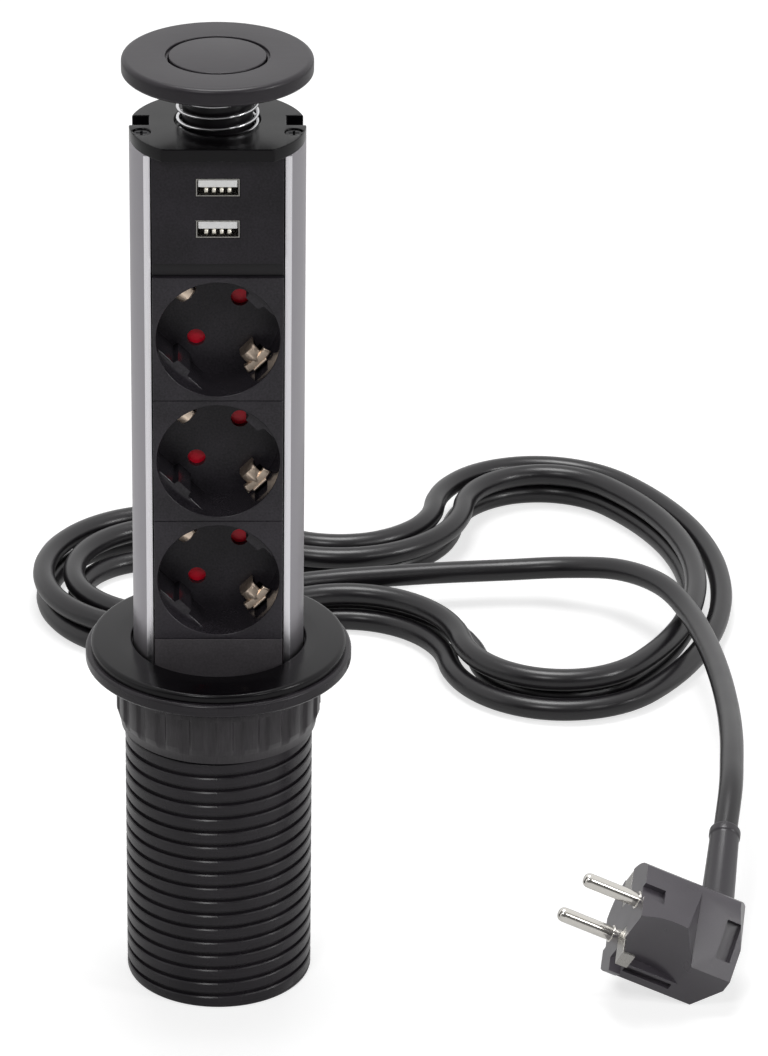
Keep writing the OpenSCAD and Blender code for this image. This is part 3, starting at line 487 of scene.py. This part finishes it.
def at_plug(points):
    """Carries points from the plug's own axes to where it lies: turned about X, then Y, then Z, and moved."""
    turn = np.array(Euler(np.radians(PLUG_TILT), "XYZ").to_matrix())
    return np.asarray(points, float) @ turn.T + PLUG_PLACE


def hank_arcs():
    """Centre x and y, radius and both angles of each arc of the hank's outer loop."""
    dy = WAIST_HALF + WAIST_R
    wx = LOBE_X + ((LOBE_R + WAIST_R) ** 2 - dy ** 2) ** 0.5
    cx = wx + ((CORNER_R + WAIST_R) ** 2 - (dy - CORNER_Y) ** 2) ** 0.5
    ex = cx - ((END_R - CORNER_R) ** 2 - CORNER_Y ** 2) ** 0.5
    lobe, corner = np.degrees(np.arctan2(dy, wx - LOBE_X)), np.degrees(np.arctan2(dy - CORNER_Y, wx - cx))
    end = np.degrees(np.arctan2(CORNER_Y, cx - ex))
    y = HANK_Y
    arcs = np.array([
        [LOBE_X, y, LOBE_R, START_A, 360 - lobe], [wx, y - dy, WAIST_R, 180 - lobe, 180 - corner],
        [cx, y - CORNER_Y, CORNER_R, 360 - corner, 360 - end], [ex, y, END_R, -end, end],
        [cx, y + CORNER_Y, CORNER_R, end, corner], [wx, y + dy, WAIST_R, 180 + corner, 180 + lobe],
        [LOBE_X, y, LOBE_R, lobe, START_A]])
    sizes = np.radians(np.abs(arcs[:, 4] - arcs[:, 3])) * arcs[:, 2]
    leave = sizes[0] + sizes[1] * (180 - lobe - LEAVE_A) / (corner - lobe)
    return arcs, sizes, HANK_LOOPS + leave / sizes.sum()


def hank_line(turn):
    """The hank's centreline at each turn: its loop's arcs, drawn in steadily and out again, in two layers."""
    arcs, sizes, turns = hank_arcs()
    turn = np.asarray(turn, float)
    starts = np.concatenate([[0], np.cumsum(sizes)])
    q = (turn - np.floor(turn)) * sizes.sum()
    k = np.clip(np.searchsorted(starts, q, side="right") - 1, 0, len(sizes) - 1)
    u = (q - starts[k]) / sizes[k]
    inset = HANK_STEP * np.abs(turns / 2 - turn) + 6 * np.maximum(0, 1 - turn / 0.12) ** 2
    a = np.radians(arcs[k, 3] + u * (arcs[k, 4] - arcs[k, 3]))
    r = arcs[k, 2] - inset * np.sign(arcs[k, 4] - arcs[k, 3])
    v = np.clip((turn - turns / 2 + 0.25) * 2, 0, 1)
    z = CORD_Z + LAYER * v * v * (3 - 2 * v)
    return np.stack([arcs[k, 0] + r * np.cos(a), arcs[k, 1] + r * np.sin(a), z], -1)


def cord_line():
    """The whole centreline: tail from the gland, hank with straight ends, and lead to the plug's boot."""
    turns = hank_arcs()[2]
    run = hank_line(np.linspace(0, turns, 960))
    start, end = hank_line([0, 0.002]), hank_line([turns - 0.002, turns])
    first = run[0] - 8 * (start[1] - start[0]) / np.linalg.norm(start[1] - start[0])
    last = run[-1] + 8 * (end[1] - end[0]) / np.linalg.norm(end[1] - end[0])
    gland = [[0, GLAND_Y, GLAND_END + 12], [0, GLAND_Y, GLAND_END]]
    tail = through(np.vstack([gland, TAIL, [first, run[0]]]), 8)
    boot = at_plug([[BOOT_X, 0, -BOOT_SEAT - BOOT_L], [BOOT_X, 0, 12 - BOOT_SEAT - BOOT_L]])
    lead = through(np.vstack([[run[-1], last], LEAD, boot]), 8)
    return np.vstack([tail, run, lead])


# Stage, in metres and watts

FLOOR_HALF = 6.0
# Share of light that the paper gives back, and the white that it adds for the camera, near and far
PAPER_GREY, GLOW_FROM, GLOW_TO, GLOW_NEAR, GLOW_FAR = 0.5, 0.4, 2.6, 0.69, 1.0
MIRRORED_PAPER = 0.3
# Strength of the room as light and in reflections behind the camera
ROOM_LIGHT, ROOM_BEHIND = 0.2, 0.15
# Name, power, width, place and aim of each lamp
LAMPS = (
    ("overhead", 14.5, 0.7, (0.0, 0.35, 1.7), (0, 0.05, 0.1)),
    ("front_box", 7, 0.35, (-0.45, -1.2, 1.5), (0, 0, 0.15)),
    ("left_box", 0.6, 0.6, (-1.4, -0.5, 0.8), (0, 0, 0.15)),
    ("right_box", 5.5, 0.28, (1.4, -0.6, 0.8), (0, 0, 0.15)),
    ("plug_box", 1.6, 0.3, (0.835, -1.01, 0.915), (0.13, -0.02, 0.03)))
CAMERA_PLACE = np.array([0, -1.5, 0.901])
CAMERA_PITCH, CAMERA_YAW, CAMERA_ROLL = radians(26.36), radians(1.98), radians(0.782)
SENSOR_MM, FOCAL_PIXELS, PICTURE_PIXELS = 36, 5348, 768


def looking(spot, way, roll):
    """A matrix at spot that looks along way, level and then rolled so that the picture turns clockwise."""
    right = np.cross(way, [0, 0, 1.0])
    right /= np.linalg.norm(right)
    up = np.cross(right, way)
    right, up = right * cos(roll) + up * sin(roll), up * cos(roll) - right * sin(roll)
    matrix = np.eye(4)
    matrix[:3, 0], matrix[:3, 1], matrix[:3, 2], matrix[:3, 3] = right, up, -way, spot
    return Matrix(matrix.tolist())


# Operators, one for each piece or group of like pieces

class SOCKET_OT_stage(bpy.types.Operator):
    """Pale floor, soft studio light and the camera"""
    bl_idname = "socket.stage"
    bl_label = "Stage"

    def execute(self, context):
        scene = context.scene
        scene.view_settings.view_transform = "Standard"
        span = np.array([-1.0, 1.0])
        x, y = np.meshgrid(span * FLOOR_HALF, span * FLOOR_HALF, indexing="ij")
        mesh = bpy.data.meshes.new("floor")
        mesh.from_pydata(np.stack([x, y, 0 * x], 2).reshape(-1, 3).tolist(), [], [[0, 2, 3, 1]])
        floor = bpy.data.objects.new("floor", mesh)
        scene.collection.objects.link(floor)
        # The floor is white paper: lit by the lamps, with a share of white added to what the camera and
        # reflections see, more of it far from the lamps, so that the ground stays white and shadows soft
        paper, tree = blank("white_paper")
        rays = add(tree, "ShaderNodeLightPath")
        mirrored = add(tree, "ShaderNodeMath", {0: (rays, "Is Glossy Ray"), 1: MIRRORED_PAPER},
                       operation="MULTIPLY")
        lit = add(tree, "ShaderNodeBsdfDiffuse", {"Color": (PAPER_GREY, PAPER_GREY, PAPER_GREY, 1)})
        where = add(tree, "ShaderNodeTexCoord")
        away = add(tree, "ShaderNodeVectorMath", {0: (where, "Object")}, operation="LENGTH")
        white = add(tree, "ShaderNodeMapRange",
                    {"Value": (away, "Value"), "From Min": GLOW_FROM, "From Max": GLOW_TO,
                     "To Min": GLOW_NEAR, "To Max": GLOW_FAR})
        part = add(tree, "ShaderNodeMath",
                   {0: (rays, "Is Camera Ray"), 1: (white, "Result"), 2: (mirrored, "Value")},
                   operation="MULTIPLY_ADD")
        glow = add(tree, "ShaderNodeEmission", {"Color": (1, 1, 1, 1), "Strength": (part, "Value")})
        blend = add(tree, "ShaderNodeAddShader", {0: (lit, "BSDF"), 1: (glow, "Emission")})
        add(tree, "ShaderNodeOutputMaterial", {"Surface": (blend, "Shader")})
        mesh.materials.append(paper)

        world = bpy.data.worlds.new("studio")
        scene.world = world
        world.use_nodes = True
        tree = world.node_tree
        tree.nodes.clear()
        # White to the camera. Reflections see it white too, but for the dim room behind the camera, which
        # gives bare metal its dark streaks
        rays = add(tree, "ShaderNodeLightPath")
        where = add(tree, "ShaderNodeTexCoord")
        way = add(tree, "ShaderNodeSeparateXYZ", {"Vector": (where, "Generated")})
        room = add(tree, "ShaderNodeMapRange",
                   {"Value": (way, "Y"), "From Min": -0.8, "From Max": -0.1,
                    "To Min": ROOM_BEHIND, "To Max": 1.0})
        seen = add(tree, "ShaderNodeMath", {0: (rays, "Is Glossy Ray"), 1: (rays, "Is Transmission Ray")},
                   operation="MAXIMUM")
        mirrored = add(tree, "ShaderNodeMix",
                       {"Factor": (seen, "Value"), "A": ROOM_LIGHT, "B": (room, "Result")})
        level = add(tree, "ShaderNodeMath", {0: (rays, "Is Camera Ray"), 1: (mirrored, "Result")},
                    operation="MAXIMUM")
        sky = add(tree, "ShaderNodeBackground", {"Color": (1, 1, 1, 1), "Strength": (level, "Value")})
        add(tree, "ShaderNodeOutputWorld", {"Surface": (sky, "Background")})

        for name, power, size, spot, aim in LAMPS:
            lamp = bpy.data.lights.new(name, "AREA")
            lamp.energy = power
            lamp.size = size
            box = bpy.data.objects.new(name, lamp)
            way = np.array(aim) - np.array(spot)
            box.matrix_world = looking(np.array(spot), way / np.linalg.norm(way), 0)
            scene.collection.objects.link(box)

        lens = bpy.data.cameras.new("camera")
        lens.sensor_fit = "HORIZONTAL"
        lens.sensor_width = SENSOR_MM
        lens.lens = FOCAL_PIXELS / PICTURE_PIXELS * SENSOR_MM
        lens.clip_end = 50
        camera = bpy.data.objects.new("camera", lens)
        ahead = cos(CAMERA_PITCH)
        way = np.array([sin(CAMERA_YAW) * ahead, cos(CAMERA_YAW) * ahead, -sin(CAMERA_PITCH)])
        camera.matrix_world = looking(CAMERA_PLACE, way, CAMERA_ROLL)
        scene.collection.objects.link(camera)
        scene.camera = camera
        return {"FINISHED"}


class SOCKET_OT_plug(bpy.types.Operator):
    """Angled plug with its pins, earth strips and boot"""
    bl_idname = "socket.plug"
    bl_label = "Plug"

    def execute(self, context):
        softened("plug_body", finish("plug_pvc"), 0.0005, 3, True)
        # Pins: rounded tip, straight shank and a wider root, turned about the plug's own X
        shank = rounded([[0, -19], [2.4, -19], [2.4, -0.2], [3, -0.2], [3, 8], [0, 8]],
                        [0.01, 2.3, 0.1, 0.2, 0.3, 0.01], 8)
        ring, faces = lathe(shank, 40)
        turned = np.stack([ring[:, 2], ring[:, 0], ring[:, 1]], 1)
        pins = [at_plug(turned + [0, side * PIN_OFF, 0]) for side in (-1, 1)]
        faces = np.vstack([faces, faces + len(ring)])
        surface("plug_pins_plated", (np.vstack(pins), faces), finish("nickel_plate"), ["plug_pins"])
        softened("plug_earth_strips", finish("dull_nickel"), 0.0001)
        # Boot: a cone with a seat below and a lip round its end, turned about the plug's own Z
        corners = [[0, 0], [6, 0], [6, 4], [5.6, 4.2], [4.85, 37.4], [5.2, 38.2], [5.2, BOOT_L],
                   [4.05, BOOT_L], [4.05, BOOT_L - 2], [0, BOOT_L - 2]]
        ring, faces = lathe(rounded(corners, [0.01, 0.3, 0.15, 0.15, 0.4, 0.3, 0.7, 0.2, 0.2, 0.01]), 72)
        boot = np.stack([ring[:, 0] + BOOT_X, ring[:, 1], -ring[:, 2] - BOOT_SEAT], 1)
        # The boot's finish is the plug's PVC darkened as painted shade
        surface("plug_boot_moulded", (at_plug(boot), faces), finish("boot_pvc_painted_shade"), ["plug_boot"])
        return {"FINISHED"}


class SOCKET_OT_cord(bpy.types.Operator):
    """Free cord from the gland through its hank to the plug"""
    bl_idname = "socket.cord"
    bl_label = "Cord"

    def execute(self, context):
        diameter = context.scene.socket_sizes.cord_diameter
        line = cord_line()
        cord = surface("cord_sheath", sweep(line, diameter * 500, 16), finish("cord_pvc"),
                       ["cord_tail", "cord_hank", "cord_lead"], 80)
        return {"FINISHED"}


class SOCKET_OT_sleeve(bpy.types.Operator):
    """Threaded sleeve, flange, bezel and guide ring"""
    bl_idname = "socket.sleeve"
    bl_label = "Sleeve"

    def execute(self, context):
        s = context.scene.socket_sizes
        pitch, width, depth = s.thread_pitch * 1000, s.groove_width * 1000, s.groove_depth * 1000
        crest, bore, top = 29.8, 28.0, 111.6
        # Thread: rows follow the helix, z = row + pitch a / 2 pi, held between the rim and the flange.
        # One turn's rows give a flat land, a bright chamfer on its upper edge, and a flat bottomed groove.
        # The tool's parting line stands out as a fine ridge down the front.
        half = width / 2
        rows = np.array([-half - 0.36, -half, -half + 0.12, half - 0.16, half - 0.04, half + 0.06])
        sunk = np.array([0, 0.29, depth, depth, 0.1, 0])
        count = int(top / pitch) + 3
        row = (rows[None] + pitch * np.arange(-1, count)[:, None]).ravel()
        low = np.tile(sunk, count + 1)
        line = np.radians([268.6, 268.9, 269.2, 269.5])
        a = np.sort(np.concatenate([np.linspace(0, 2 * pi, 241), line]))
        ridge = 0.06 * np.isin(a, line[1:3])
        z = row[:, None] + pitch * (a[None] / (2 * pi) - 0.75)
        fade = np.clip((z - 1.2) / 0.6, 0, 1) * np.clip((top - 2 - z) / 0.6, 0, 1)
        r = crest - 0.06 - low[:, None] * fade + ridge
        z = np.clip(z, 1.0, top)
        outer = np.stack([r * np.cos(a), r * np.sin(a), z], 2)
        # Rim, bore and the hidden top under the flange close the wall
        ends = np.array([[bore, top], [bore, 0.3], [bore + 0.3, 0], [crest - 1, 0], [crest - 0.25, 0.4]])
        rim = np.stack([ends[:, :1] * np.cos(a), ends[:, :1] * np.sin(a), ends[:, 1:] + 0 * a], 2)
        points = np.concatenate([rim, outer])
        faces = grid_faces(len(points), len(a), True, False)
        sleeve = surface("sleeve_thread", (points.reshape(-1, 3), faces), finish("sleeve_abs"),
                         ["threaded_sleeve"], 30)
        arch_cut(sleeve, 5.2)
        # Flange: a flat ring with softened rims, hollow inside for the guide
        flange = rounded([[28, top], [41.2, 112], [42, 112.8], [42, 115.8], [41.4, 116.4], [30.3, 116.4],
                          [30.3, 115], [28, 115]], [0.1, 0.3, 0.3, 0.3, 0.3, 0.1, 0.1, 0.1])
        surface("sleeve_flange", lathe(flange, 180), finish("sleeve_abs"), ["threaded_sleeve"])
        bezel = rounded([[27.5, 116.4], [40.3, 116.4], [40.3, 119.2], [32, 119.5], [27.5, 119.5]],
                        [0.1, 0.1, 1.4, 0.5, 0.7], 8)
        surface("bezel_polished", lathe(bezel, 180), finish("bezel_abs"), ["bezel_ring"], 50)
        softened("guide_ring", finish("inner_nylon"), 0.0002)
        return {"FINISHED"}


class SOCKET_OT_nut(bpy.types.Operator):
    """Ribbed lock nut and its washer"""
    bl_idname = "socket.nut"
    bl_label = "Nut"

    def execute(self, context):
        s = context.scene.socket_sizes
        ribs, depth = s.nut_ribs, s.rib_depth * 1000
        base, height, outer, bore = 90.0, 19.5, 32.4, 30.1
        # Ribs: the wall r(z) sinks by the rib's depth in the gaps, w(a) v(z), where w rises and falls on the
        # smooth step x^2 (3 - 2 x) at each flank
        turn = np.concatenate([[0, 0.22], np.linspace(0.45, 0.62, 7), [0.72], np.linspace(0.83, 1, 7)[:-1]])
        ramp = np.clip((turn - 0.45) / 0.17, 0, 1) - np.clip((turn - 0.83) / 0.17, 0, 1)
        a = 2 * pi / ribs * (turn[None] + np.arange(ribs)[:, None]).ravel()
        gap = np.tile(ramp * ramp * (3 - 2 * ramp), ribs)
        limit = outer - depth
        wall = np.array([[bore, 0.2], [bore + 0.2, 0], [bore + 0.7, 0], [bore + 0.9, 0.1],
                         [limit - 0.1, 2.8], [limit + 0.15, 3.1], [outer - 0.2, 5.0], [outer, 5.4],
                         [outer, 15.2], [outer, 15.5], [outer, 15.7], [outer, 19.2], [outer - 0.3, height],
                         [bore, height]])
        reach = np.array([0, 0, 0, 0, 0, 0.2, 1, 1, 1, 0.9, 0, 0, 0, 0])
        r = wall[:, :1] - (np.maximum(wall[:, :1] - limit, 0) * reach[:, None]) * gap[None]
        points = np.stack([r * np.cos(a), r * np.sin(a), base + wall[:, 1:] + 0 * a], 2)
        surface("nut_ribbed", (points.reshape(-1, 3), grid_faces(len(wall), len(a), True, True)),
                finish("nut_abs"), ["lock_nut"], 50)
        softened("nut_washer", finish("nut_abs"), 0.0003)
        return {"FINISHED"}


class SOCKET_OT_tower(bpy.types.Operator):
    """Aluminium profile with its top plate, foot cap, screws and gland"""
    bl_idname = "socket.tower"
    bl_label = "Tower"

    def execute(self, context):
        edge = context.scene.socket_sizes.edge
        softened("tower_profile", finish("anodised_aluminium"), 0.00025)
        # Front lips: a thin band with round sides on each front lip of the profile, in the paler copy of the
        # metal that paints the lips' bright reflection
        band = rounded([[20.3, -14.6], [20.3, -14.85], [22.35, -14.85], [22.35, -14.6]],
                       [0.05, 0.1, 0.1, 0.05], 4)
        low, high = (1000 * corner[2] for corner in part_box("tower_profile"))
        z = np.array([low + 0.5, low + 0.5, high - 0.5, high - 0.5])
        inset = np.array([0, 1, 1, 0])
        middle = band.mean(0)
        ring = middle + (band - middle)[None] * inset[:, None, None]
        height = np.broadcast_to(z[:, None, None], (*ring.shape[:2], 1))
        left, right = (np.concatenate([ring * [side, 1], height], 2) for side in (-1, 1))
        faces = grid_faces(len(z), len(band), False, True)
        points = np.concatenate([left, right]).reshape(-1, 3)
        surface("profile_edges", (points, np.vstack([faces, faces + len(points) // 2])),
                finish("lip_aluminium_painted_sheen"), ["tower_profile"])
        softened("top_plate", finish("bezel_abs"), edge)
        softened("foot_cap", finish("inner_nylon"), edge)
        softened("cable_gland", finish("cord_pvc"), 0.0004)
        softened("top_screws", finish("black_steel"), 0.00012)
        softened("foot_screws", finish("zinc_steel"), 0.00012)
        return {"FINISHED"}


# Half the tongue's width and the places of a port's contacts across it, in millimetres
TONGUE_X, CONTACT_X, CONTACT_HALF = 5.9, np.array([-3.5, -1.17, 1.17, 3.5]), 0.55


class SOCKET_OT_ports(bpy.types.Operator):
    """Charging panel with its ports, and the plain panels"""
    bl_idname = "socket.ports"
    bl_label = "Panels and ports"

    def execute(self, context):
        softened("usb_module", finish("port_abs"), 0.0002)
        softened("band_strip", finish("inner_nylon"), 0.0002)
        # The plain panel's finish is painted paler, a painted sheen
        softened("blank_panel", finish("strip_abs_painted_sheen"), 0.0002)
        for place_name in ("upper", "lower"):
            softened("usb_shell_" + place_name, finish("dull_nickel"), 0.0001)
            # Tongue: a rounded bar that fills the upper half of its port and ends just behind the shell's rim
            low, high = (1000 * np.array(corner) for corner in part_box("usb_shell_" + place_name))
            top, middle = high[2] - 0.5, (low[2] + high[2]) / 2 + 0.1
            corners = [[-TONGUE_X, middle], [TONGUE_X, middle], [TONGUE_X, top], [-TONGUE_X, top]]
            section = rounded(corners, [0.2, 0.2, 0.2, 0.2], 4)
            centre = section.mean(0)
            y = low[1] + np.array([0.15, 0.15, 0.35, 8.2, 8.2])
            inset = np.array([0, 0.96, 1, 1, 0])
            ring = centre + (section - centre)[None] * inset[:, None, None]
            points = np.stack([ring[..., 0], y[:, None] + 0 * ring[..., 0], ring[..., 1]], 2)
            faces = grid_faces(*ring.shape[:2], False, True)
            surface("usb_tongue_" + place_name + "_bar", (points.reshape(-1, 3), faces),
                    finish("tongue_polymer"), ["usb_tongue_" + place_name])
            # Contacts: four thin strips under the tongue whose front ends are bent down into the port
            bend = np.array([[8.0, 0.15], [1.9, 0.2], [1.1, 0.45], [0.65, 1.0], [0.6, 1.5], [0.8, 2.0]])
            across = CONTACT_X[:, None, None] + np.array([-CONTACT_HALF, CONTACT_HALF])[None, None]
            depth, drop = low[1] + bend[None, :, :1], middle - bend[None, :, 1:]
            strips = np.stack(np.broadcast_arrays(across, depth, drop), 3)
            faces = grid_faces(*strips.shape[1:3])
            faces = np.vstack([faces + k * strips[0, ..., 0].size for k in range(len(strips))])
            teeth = surface("usb_contacts_" + place_name + "_strips", (strips.reshape(-1, 3), faces),
                            finish("pale_contact"), ["usb_contacts_" + place_name], 60)
            thicken(teeth, 0.0002)
        dress("usb_board", finish("board_lacquer"))
        return {"FINISHED"}


# Outlet, in millimetres and degrees: recess, front face, chords of the recess's wall, and the cup outside
RECESS_R, RECESS_DEPTH, FRONT_Y = 18.9, 17.0, -17.613
PIN_TURN, FLAT_U, KEY_U, CHANNEL_U = 45.0, 16.3, 14.7, 20.1
PANEL_HALF, OUTLET_HALF, CUP_DEPTH, SEAT_R = 19.9, 20.45, 19.0, 19.75
# Half the angle that each chord takes, and where the flank beside a key and a channel ends
KEY_A, KEY_END_A, FLAT_A, CHANNEL_A, CHANNEL_END_A = 10.0, 10.6, 30.4, 8.0, 8.5


def outlet_cup(centre):
    """An outlet's cup on a grid of angle a by rows (depth, radius), closed on itself.

    The wall's radius at a is that of the round recess, r = 18.9, or of a chord, r = u / cos(a - middle):
    past 3 mm the clips' channels, past 4 mm the flats and the guide keys between them. The front runs out
    to the panel's outline, r = min(half width / |cos a|, half height / |sin a|). Small steps round the edges,
    but for the keys, which are cut square.
    """
    pins, clips = (PIN_TURN, PIN_TURN + 180), (PIN_TURN + 90, PIN_TURN + 270)
    breaks = [m + side * d for m in pins for side in (-1, 1) for d in (KEY_A, KEY_END_A, FLAT_A)]
    breaks += [m + side * d for m in clips for side in (-1, 1) for d in (CHANNEL_A, CHANNEL_END_A)]
    corner = np.degrees(np.arctan2(OUTLET_HALF, PANEL_HALF))
    breaks += [corner, 180 - corner, 180 + corner, 360 - corner]
    turn = np.unique(np.round(np.concatenate([np.arange(0, 360, 3.0), breaks]), 4) % 360)
    a = np.radians(turn)

    def off(middle):
        """How far each angle lies from the nearer of middle and its opposite, in degrees."""
        return np.abs((turn - middle + 90) % 180 - 90)

    pin, clip, near = off(PIN_TURN), off(PIN_TURN + 90), 0.01
    wall = np.full(len(a), RECESS_R)
    channel = np.where(clip <= CHANNEL_A + near, CHANNEL_U / np.cos(np.radians(clip)), wall)
    flat = np.where(pin <= FLAT_A, np.minimum(channel, FLAT_U / np.cos(np.radians(pin))), channel)
    key = np.where(pin <= KEY_A + near, KEY_U / np.cos(np.radians(pin)), flat)
    soft = np.where(pin <= KEY_END_A + near, 0, 1)

    def outline(inset):
        """The panel's outline, drawn in by inset."""
        with np.errstate(divide="ignore"):
            return np.minimum((PANEL_HALF - inset) / np.abs(np.cos(a)),
                              (OUTLET_HALF - inset) / np.abs(np.sin(a)))

    rows = [(RECESS_DEPTH, key), (4.4, key), (4.12, np.minimum(channel, key + 0.12 * soft)),
            (4, np.minimum(channel, key + 0.4 * soft)), (4, channel), (3, channel), (3, wall),
            (0.4, wall), (0.12, wall + 0.12), (0, wall + 0.4),
            (0, outline(0.3)), (0.09, outline(0.09)), (0.3, outline(0)), (CUP_DEPTH, outline(0)),
            (CUP_DEPTH, wall * 0 + SEAT_R), (RECESS_DEPTH, wall * 0 + SEAT_R)]
    depth, r = np.array([row[0] for row in rows])[:, None], np.array([row[1] for row in rows])
    points = np.stack([r * np.cos(a), FRONT_Y + depth + 0 * a, centre + r * np.sin(a)], 2)
    return points.reshape(-1, 3), grid_faces(len(rows), len(a), True, True)


def clip_strip(centre, side):
    """One end of an earth clip: a crowned strip that rises from the floor and ends on a bar along the wall.

    The strip's path is given in (distance from the axis, depth), its width lies across, and the crown lifts
    its middle by c (1 - |t|^1.5). The bar follows the wall's circle, and is shorter on the upper end.
    Both are surfaces for Solidify.
    """
    path = np.array([[12.4, 17.6], [12.4, 14.6], [12.6, 13.3], [13.2, 12.6], [15, 12.3], [17, 12.2],
                     [17.9, 11.9], [18.3, 11.2], [18.4, 10.2]])
    crown = np.array([0, 0.3, 0.9, 1.3, 1.4, 1.2, 0.8, 0.3, 0])
    t = np.array([-1, -0.9, -0.5, -0.12, 0, 0.12, 0.5, 0.9, 1])
    lift = crown[:, None] * (1 - np.abs(t) ** 1.5)
    u = path[:, :1] - 0.25 * lift
    strip = np.stack([u + 0 * t, path[:, 1:] - lift, 2.7 * t + 0 * u], 2)
    reach = (-15, 16.5) if side > 0 else (-9, 10)
    turn = np.radians(np.linspace(*reach, 13))[None]
    depth = np.array([11.8, 11.1, 11.0, 11.4])[:, None]
    r = np.array([15.9, 16.2, 18.0, 18.5])[:, None]
    bar = np.stack([r * np.cos(turn), depth + 0 * turn, r * np.sin(turn)], 2)
    faces = np.vstack([grid_faces(*strip.shape[:2]), grid_faces(*bar.shape[:2]) + strip[..., 0].size])
    flat = np.vstack([strip.reshape(-1, 3), bar.reshape(-1, 3)])
    way = radians(PIN_TURN - 90) + (pi if side < 0 else 0)
    x = flat[:, 0] * cos(way) - flat[:, 2] * sin(way)
    z = flat[:, 0] * sin(way) + flat[:, 2] * cos(way)
    return np.stack([x, FRONT_Y + flat[:, 1], centre + z], 1), faces


class SOCKET_OT_outlets(bpy.types.Operator):
    """Outlet modules with shutters, earth clips and bars"""
    bl_idname = "socket.outlets"
    bl_label = "Outlets"

    def execute(self, context):
        for place_name in ("upper", "middle", "lower"):
            low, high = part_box("pin_plate_" + place_name)
            centre = 500 * (low[2] + high[2])
            cup = surface("outlet_cup_" + place_name, outlet_cup(centre), finish("outlet_abs"),
                          ["socket_" + place_name], 50)
            even(cup)
            dress("pin_plate_" + place_name, finish("panel_abs"))
            dress("contact_carrier_" + place_name, finish("inner_nylon"))
            softened("shutter_" + place_name, finish("shutter_nylon"), 0.0002)
            ends = [clip_strip(centre, side) for side in (1, -1)]
            points = np.vstack([end[0] for end in ends])
            faces = np.vstack([ends[0][1], ends[1][1] + len(ends[0][0])])
            clip = surface("earth_clip_" + place_name + "_strip", (points, faces), finish("clip_brass"),
                           ["earth_clip_" + place_name], 40)
            thicken(clip, 0.0006)
        for side in ("live", "neutral"):
            dress(side + "_busbar", finish("contact_brass"))
        return {"FINISHED"}


# Seats of both springs along Z and the lid spring's place along Y, in millimetres
SPRING_SEAT, BUTTON_SEAT, STEM_Y = 291.5, 297.1, 4.037


class SOCKET_OT_lid(bpy.types.Operator):
    """Lid with its stem, button and both springs"""
    bl_idname = "socket.lid"
    bl_label = "Lid"

    def execute(self, context):
        s = context.scene.socket_sizes
        low, high, cup = 310.1, 315.6, 311.4
        # Lid: a disc with a rolled rim, a sunk ring round the button and the button's cup
        lid = rounded([[3.55, low], [28.2, low], [29, low + 0.8], [29, high], [15.8, high], [15.75, high - 1],
                       [15.05, high - 1.05], [15.05, cup], [3.55, cup]],
                      [0.1, 0.3, 0.4, 1.7, 0.25, 0.1, 0.1, 0.2, 0.1], 10)
        surface("lid_moulded", lathe(lid, 180), finish("lid_abs"), ["lid_disc"], 50)
        # Button: flat top with a rolled edge, plunger and collar below
        cap = rounded([[0.001, high], [14.7, high], [14.7, high - 1.5], [3.2, high - 1.5], [3.2, 309.8],
                       [4.8, 309.8], [4.8, 308.2], [3.2, 308.2], [3.2, 300.1], [0.001, 300.1]],
                      [0.0005, 0.4, 0.2, 0.2, 0.2, 0.3, 0.3, 0.2, 0.3, 0.0005], 6)
        surface("button_moulded", lathe(cap, 120), finish("lid_abs"), ["button_cap"], 50)
        softened("lid_stem", finish("inner_nylon"), 0.0003)
        softened("stem_retainer", finish("inner_nylon"), 0.0002)
        # Springs: each stands on its seat and rises in turns to the part above it, with a mesh of its own
        wire, half, room = s.spring_wire * 1000, s.spring_wire * 500, 0.05
        foot, head = SPRING_SEAT + half + room, low - half - room
        coil = helix(12.7 - half, foot, head, s.spring_turns, wire + 0.5, STEM_Y)
        spring = surface("lid_spring_coil", sweep(coil, half, 14, (0, 0, 1)), finish("spring_wire"),
                         ["lid_spring"], 80)
        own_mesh(spring)
        coil = helix(4.4, BUTTON_SEAT + 0.45, 308.2 - 0.45, 3, 1.3, 0)
        spring = surface("button_spring_coil", sweep(coil, 0.4, 10, (0, 0, 1)), finish("spring_wire"),
                         ["button_spring"], 80)
        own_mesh(spring)
        return {"FINISHED"}


class SOCKET_PT_pieces(bpy.types.Panel):
    """Lists the operators and the settings"""
    bl_idname = "SOCKET_PT_pieces"
    bl_label = "Desk socket"
    bl_space_type = "VIEW_3D"
    bl_region_type = "UI"
    bl_category = "Desk socket"

    def draw(self, context):
        for operator in OPERATORS:
            self.layout.operator(operator.bl_idname)
        for group in (context.scene.socket_sizes, context.scene.socket_colours):
            for name in group.__annotations__:
                self.layout.prop(group, name)


OPERATORS = (SOCKET_OT_stage, SOCKET_OT_plug, SOCKET_OT_cord, SOCKET_OT_sleeve, SOCKET_OT_nut,
             SOCKET_OT_tower, SOCKET_OT_ports, SOCKET_OT_outlets, SOCKET_OT_lid)
CLASSES = (SocketSizes, SocketColours, *OPERATORS, SOCKET_PT_pieces)


def register():
    """Adds the classes and the settings to Blender."""
    for each in CLASSES:
        bpy.utils.register_class(each)
    bpy.types.Scene.socket_sizes = PointerProperty(type=SocketSizes)
    bpy.types.Scene.socket_colours = PointerProperty(type=SocketColours)


def unregister():
    """Takes the settings and the classes out again."""
    del bpy.types.Scene.socket_colours
    del bpy.types.Scene.socket_sizes
    for each in reversed(CLASSES):
        bpy.utils.unregister_class(each)


def main():
    """Makes every piece in order."""
    register()
    bpy.ops.socket.stage()
    bpy.ops.socket.plug()
    bpy.ops.socket.cord()
    bpy.ops.socket.sleeve()
    bpy.ops.socket.nut()
    bpy.ops.socket.tower()
    bpy.ops.socket.ports()
    bpy.ops.socket.outlets()
    bpy.ops.socket.lid()


if __name__ == "__main__":
    main()
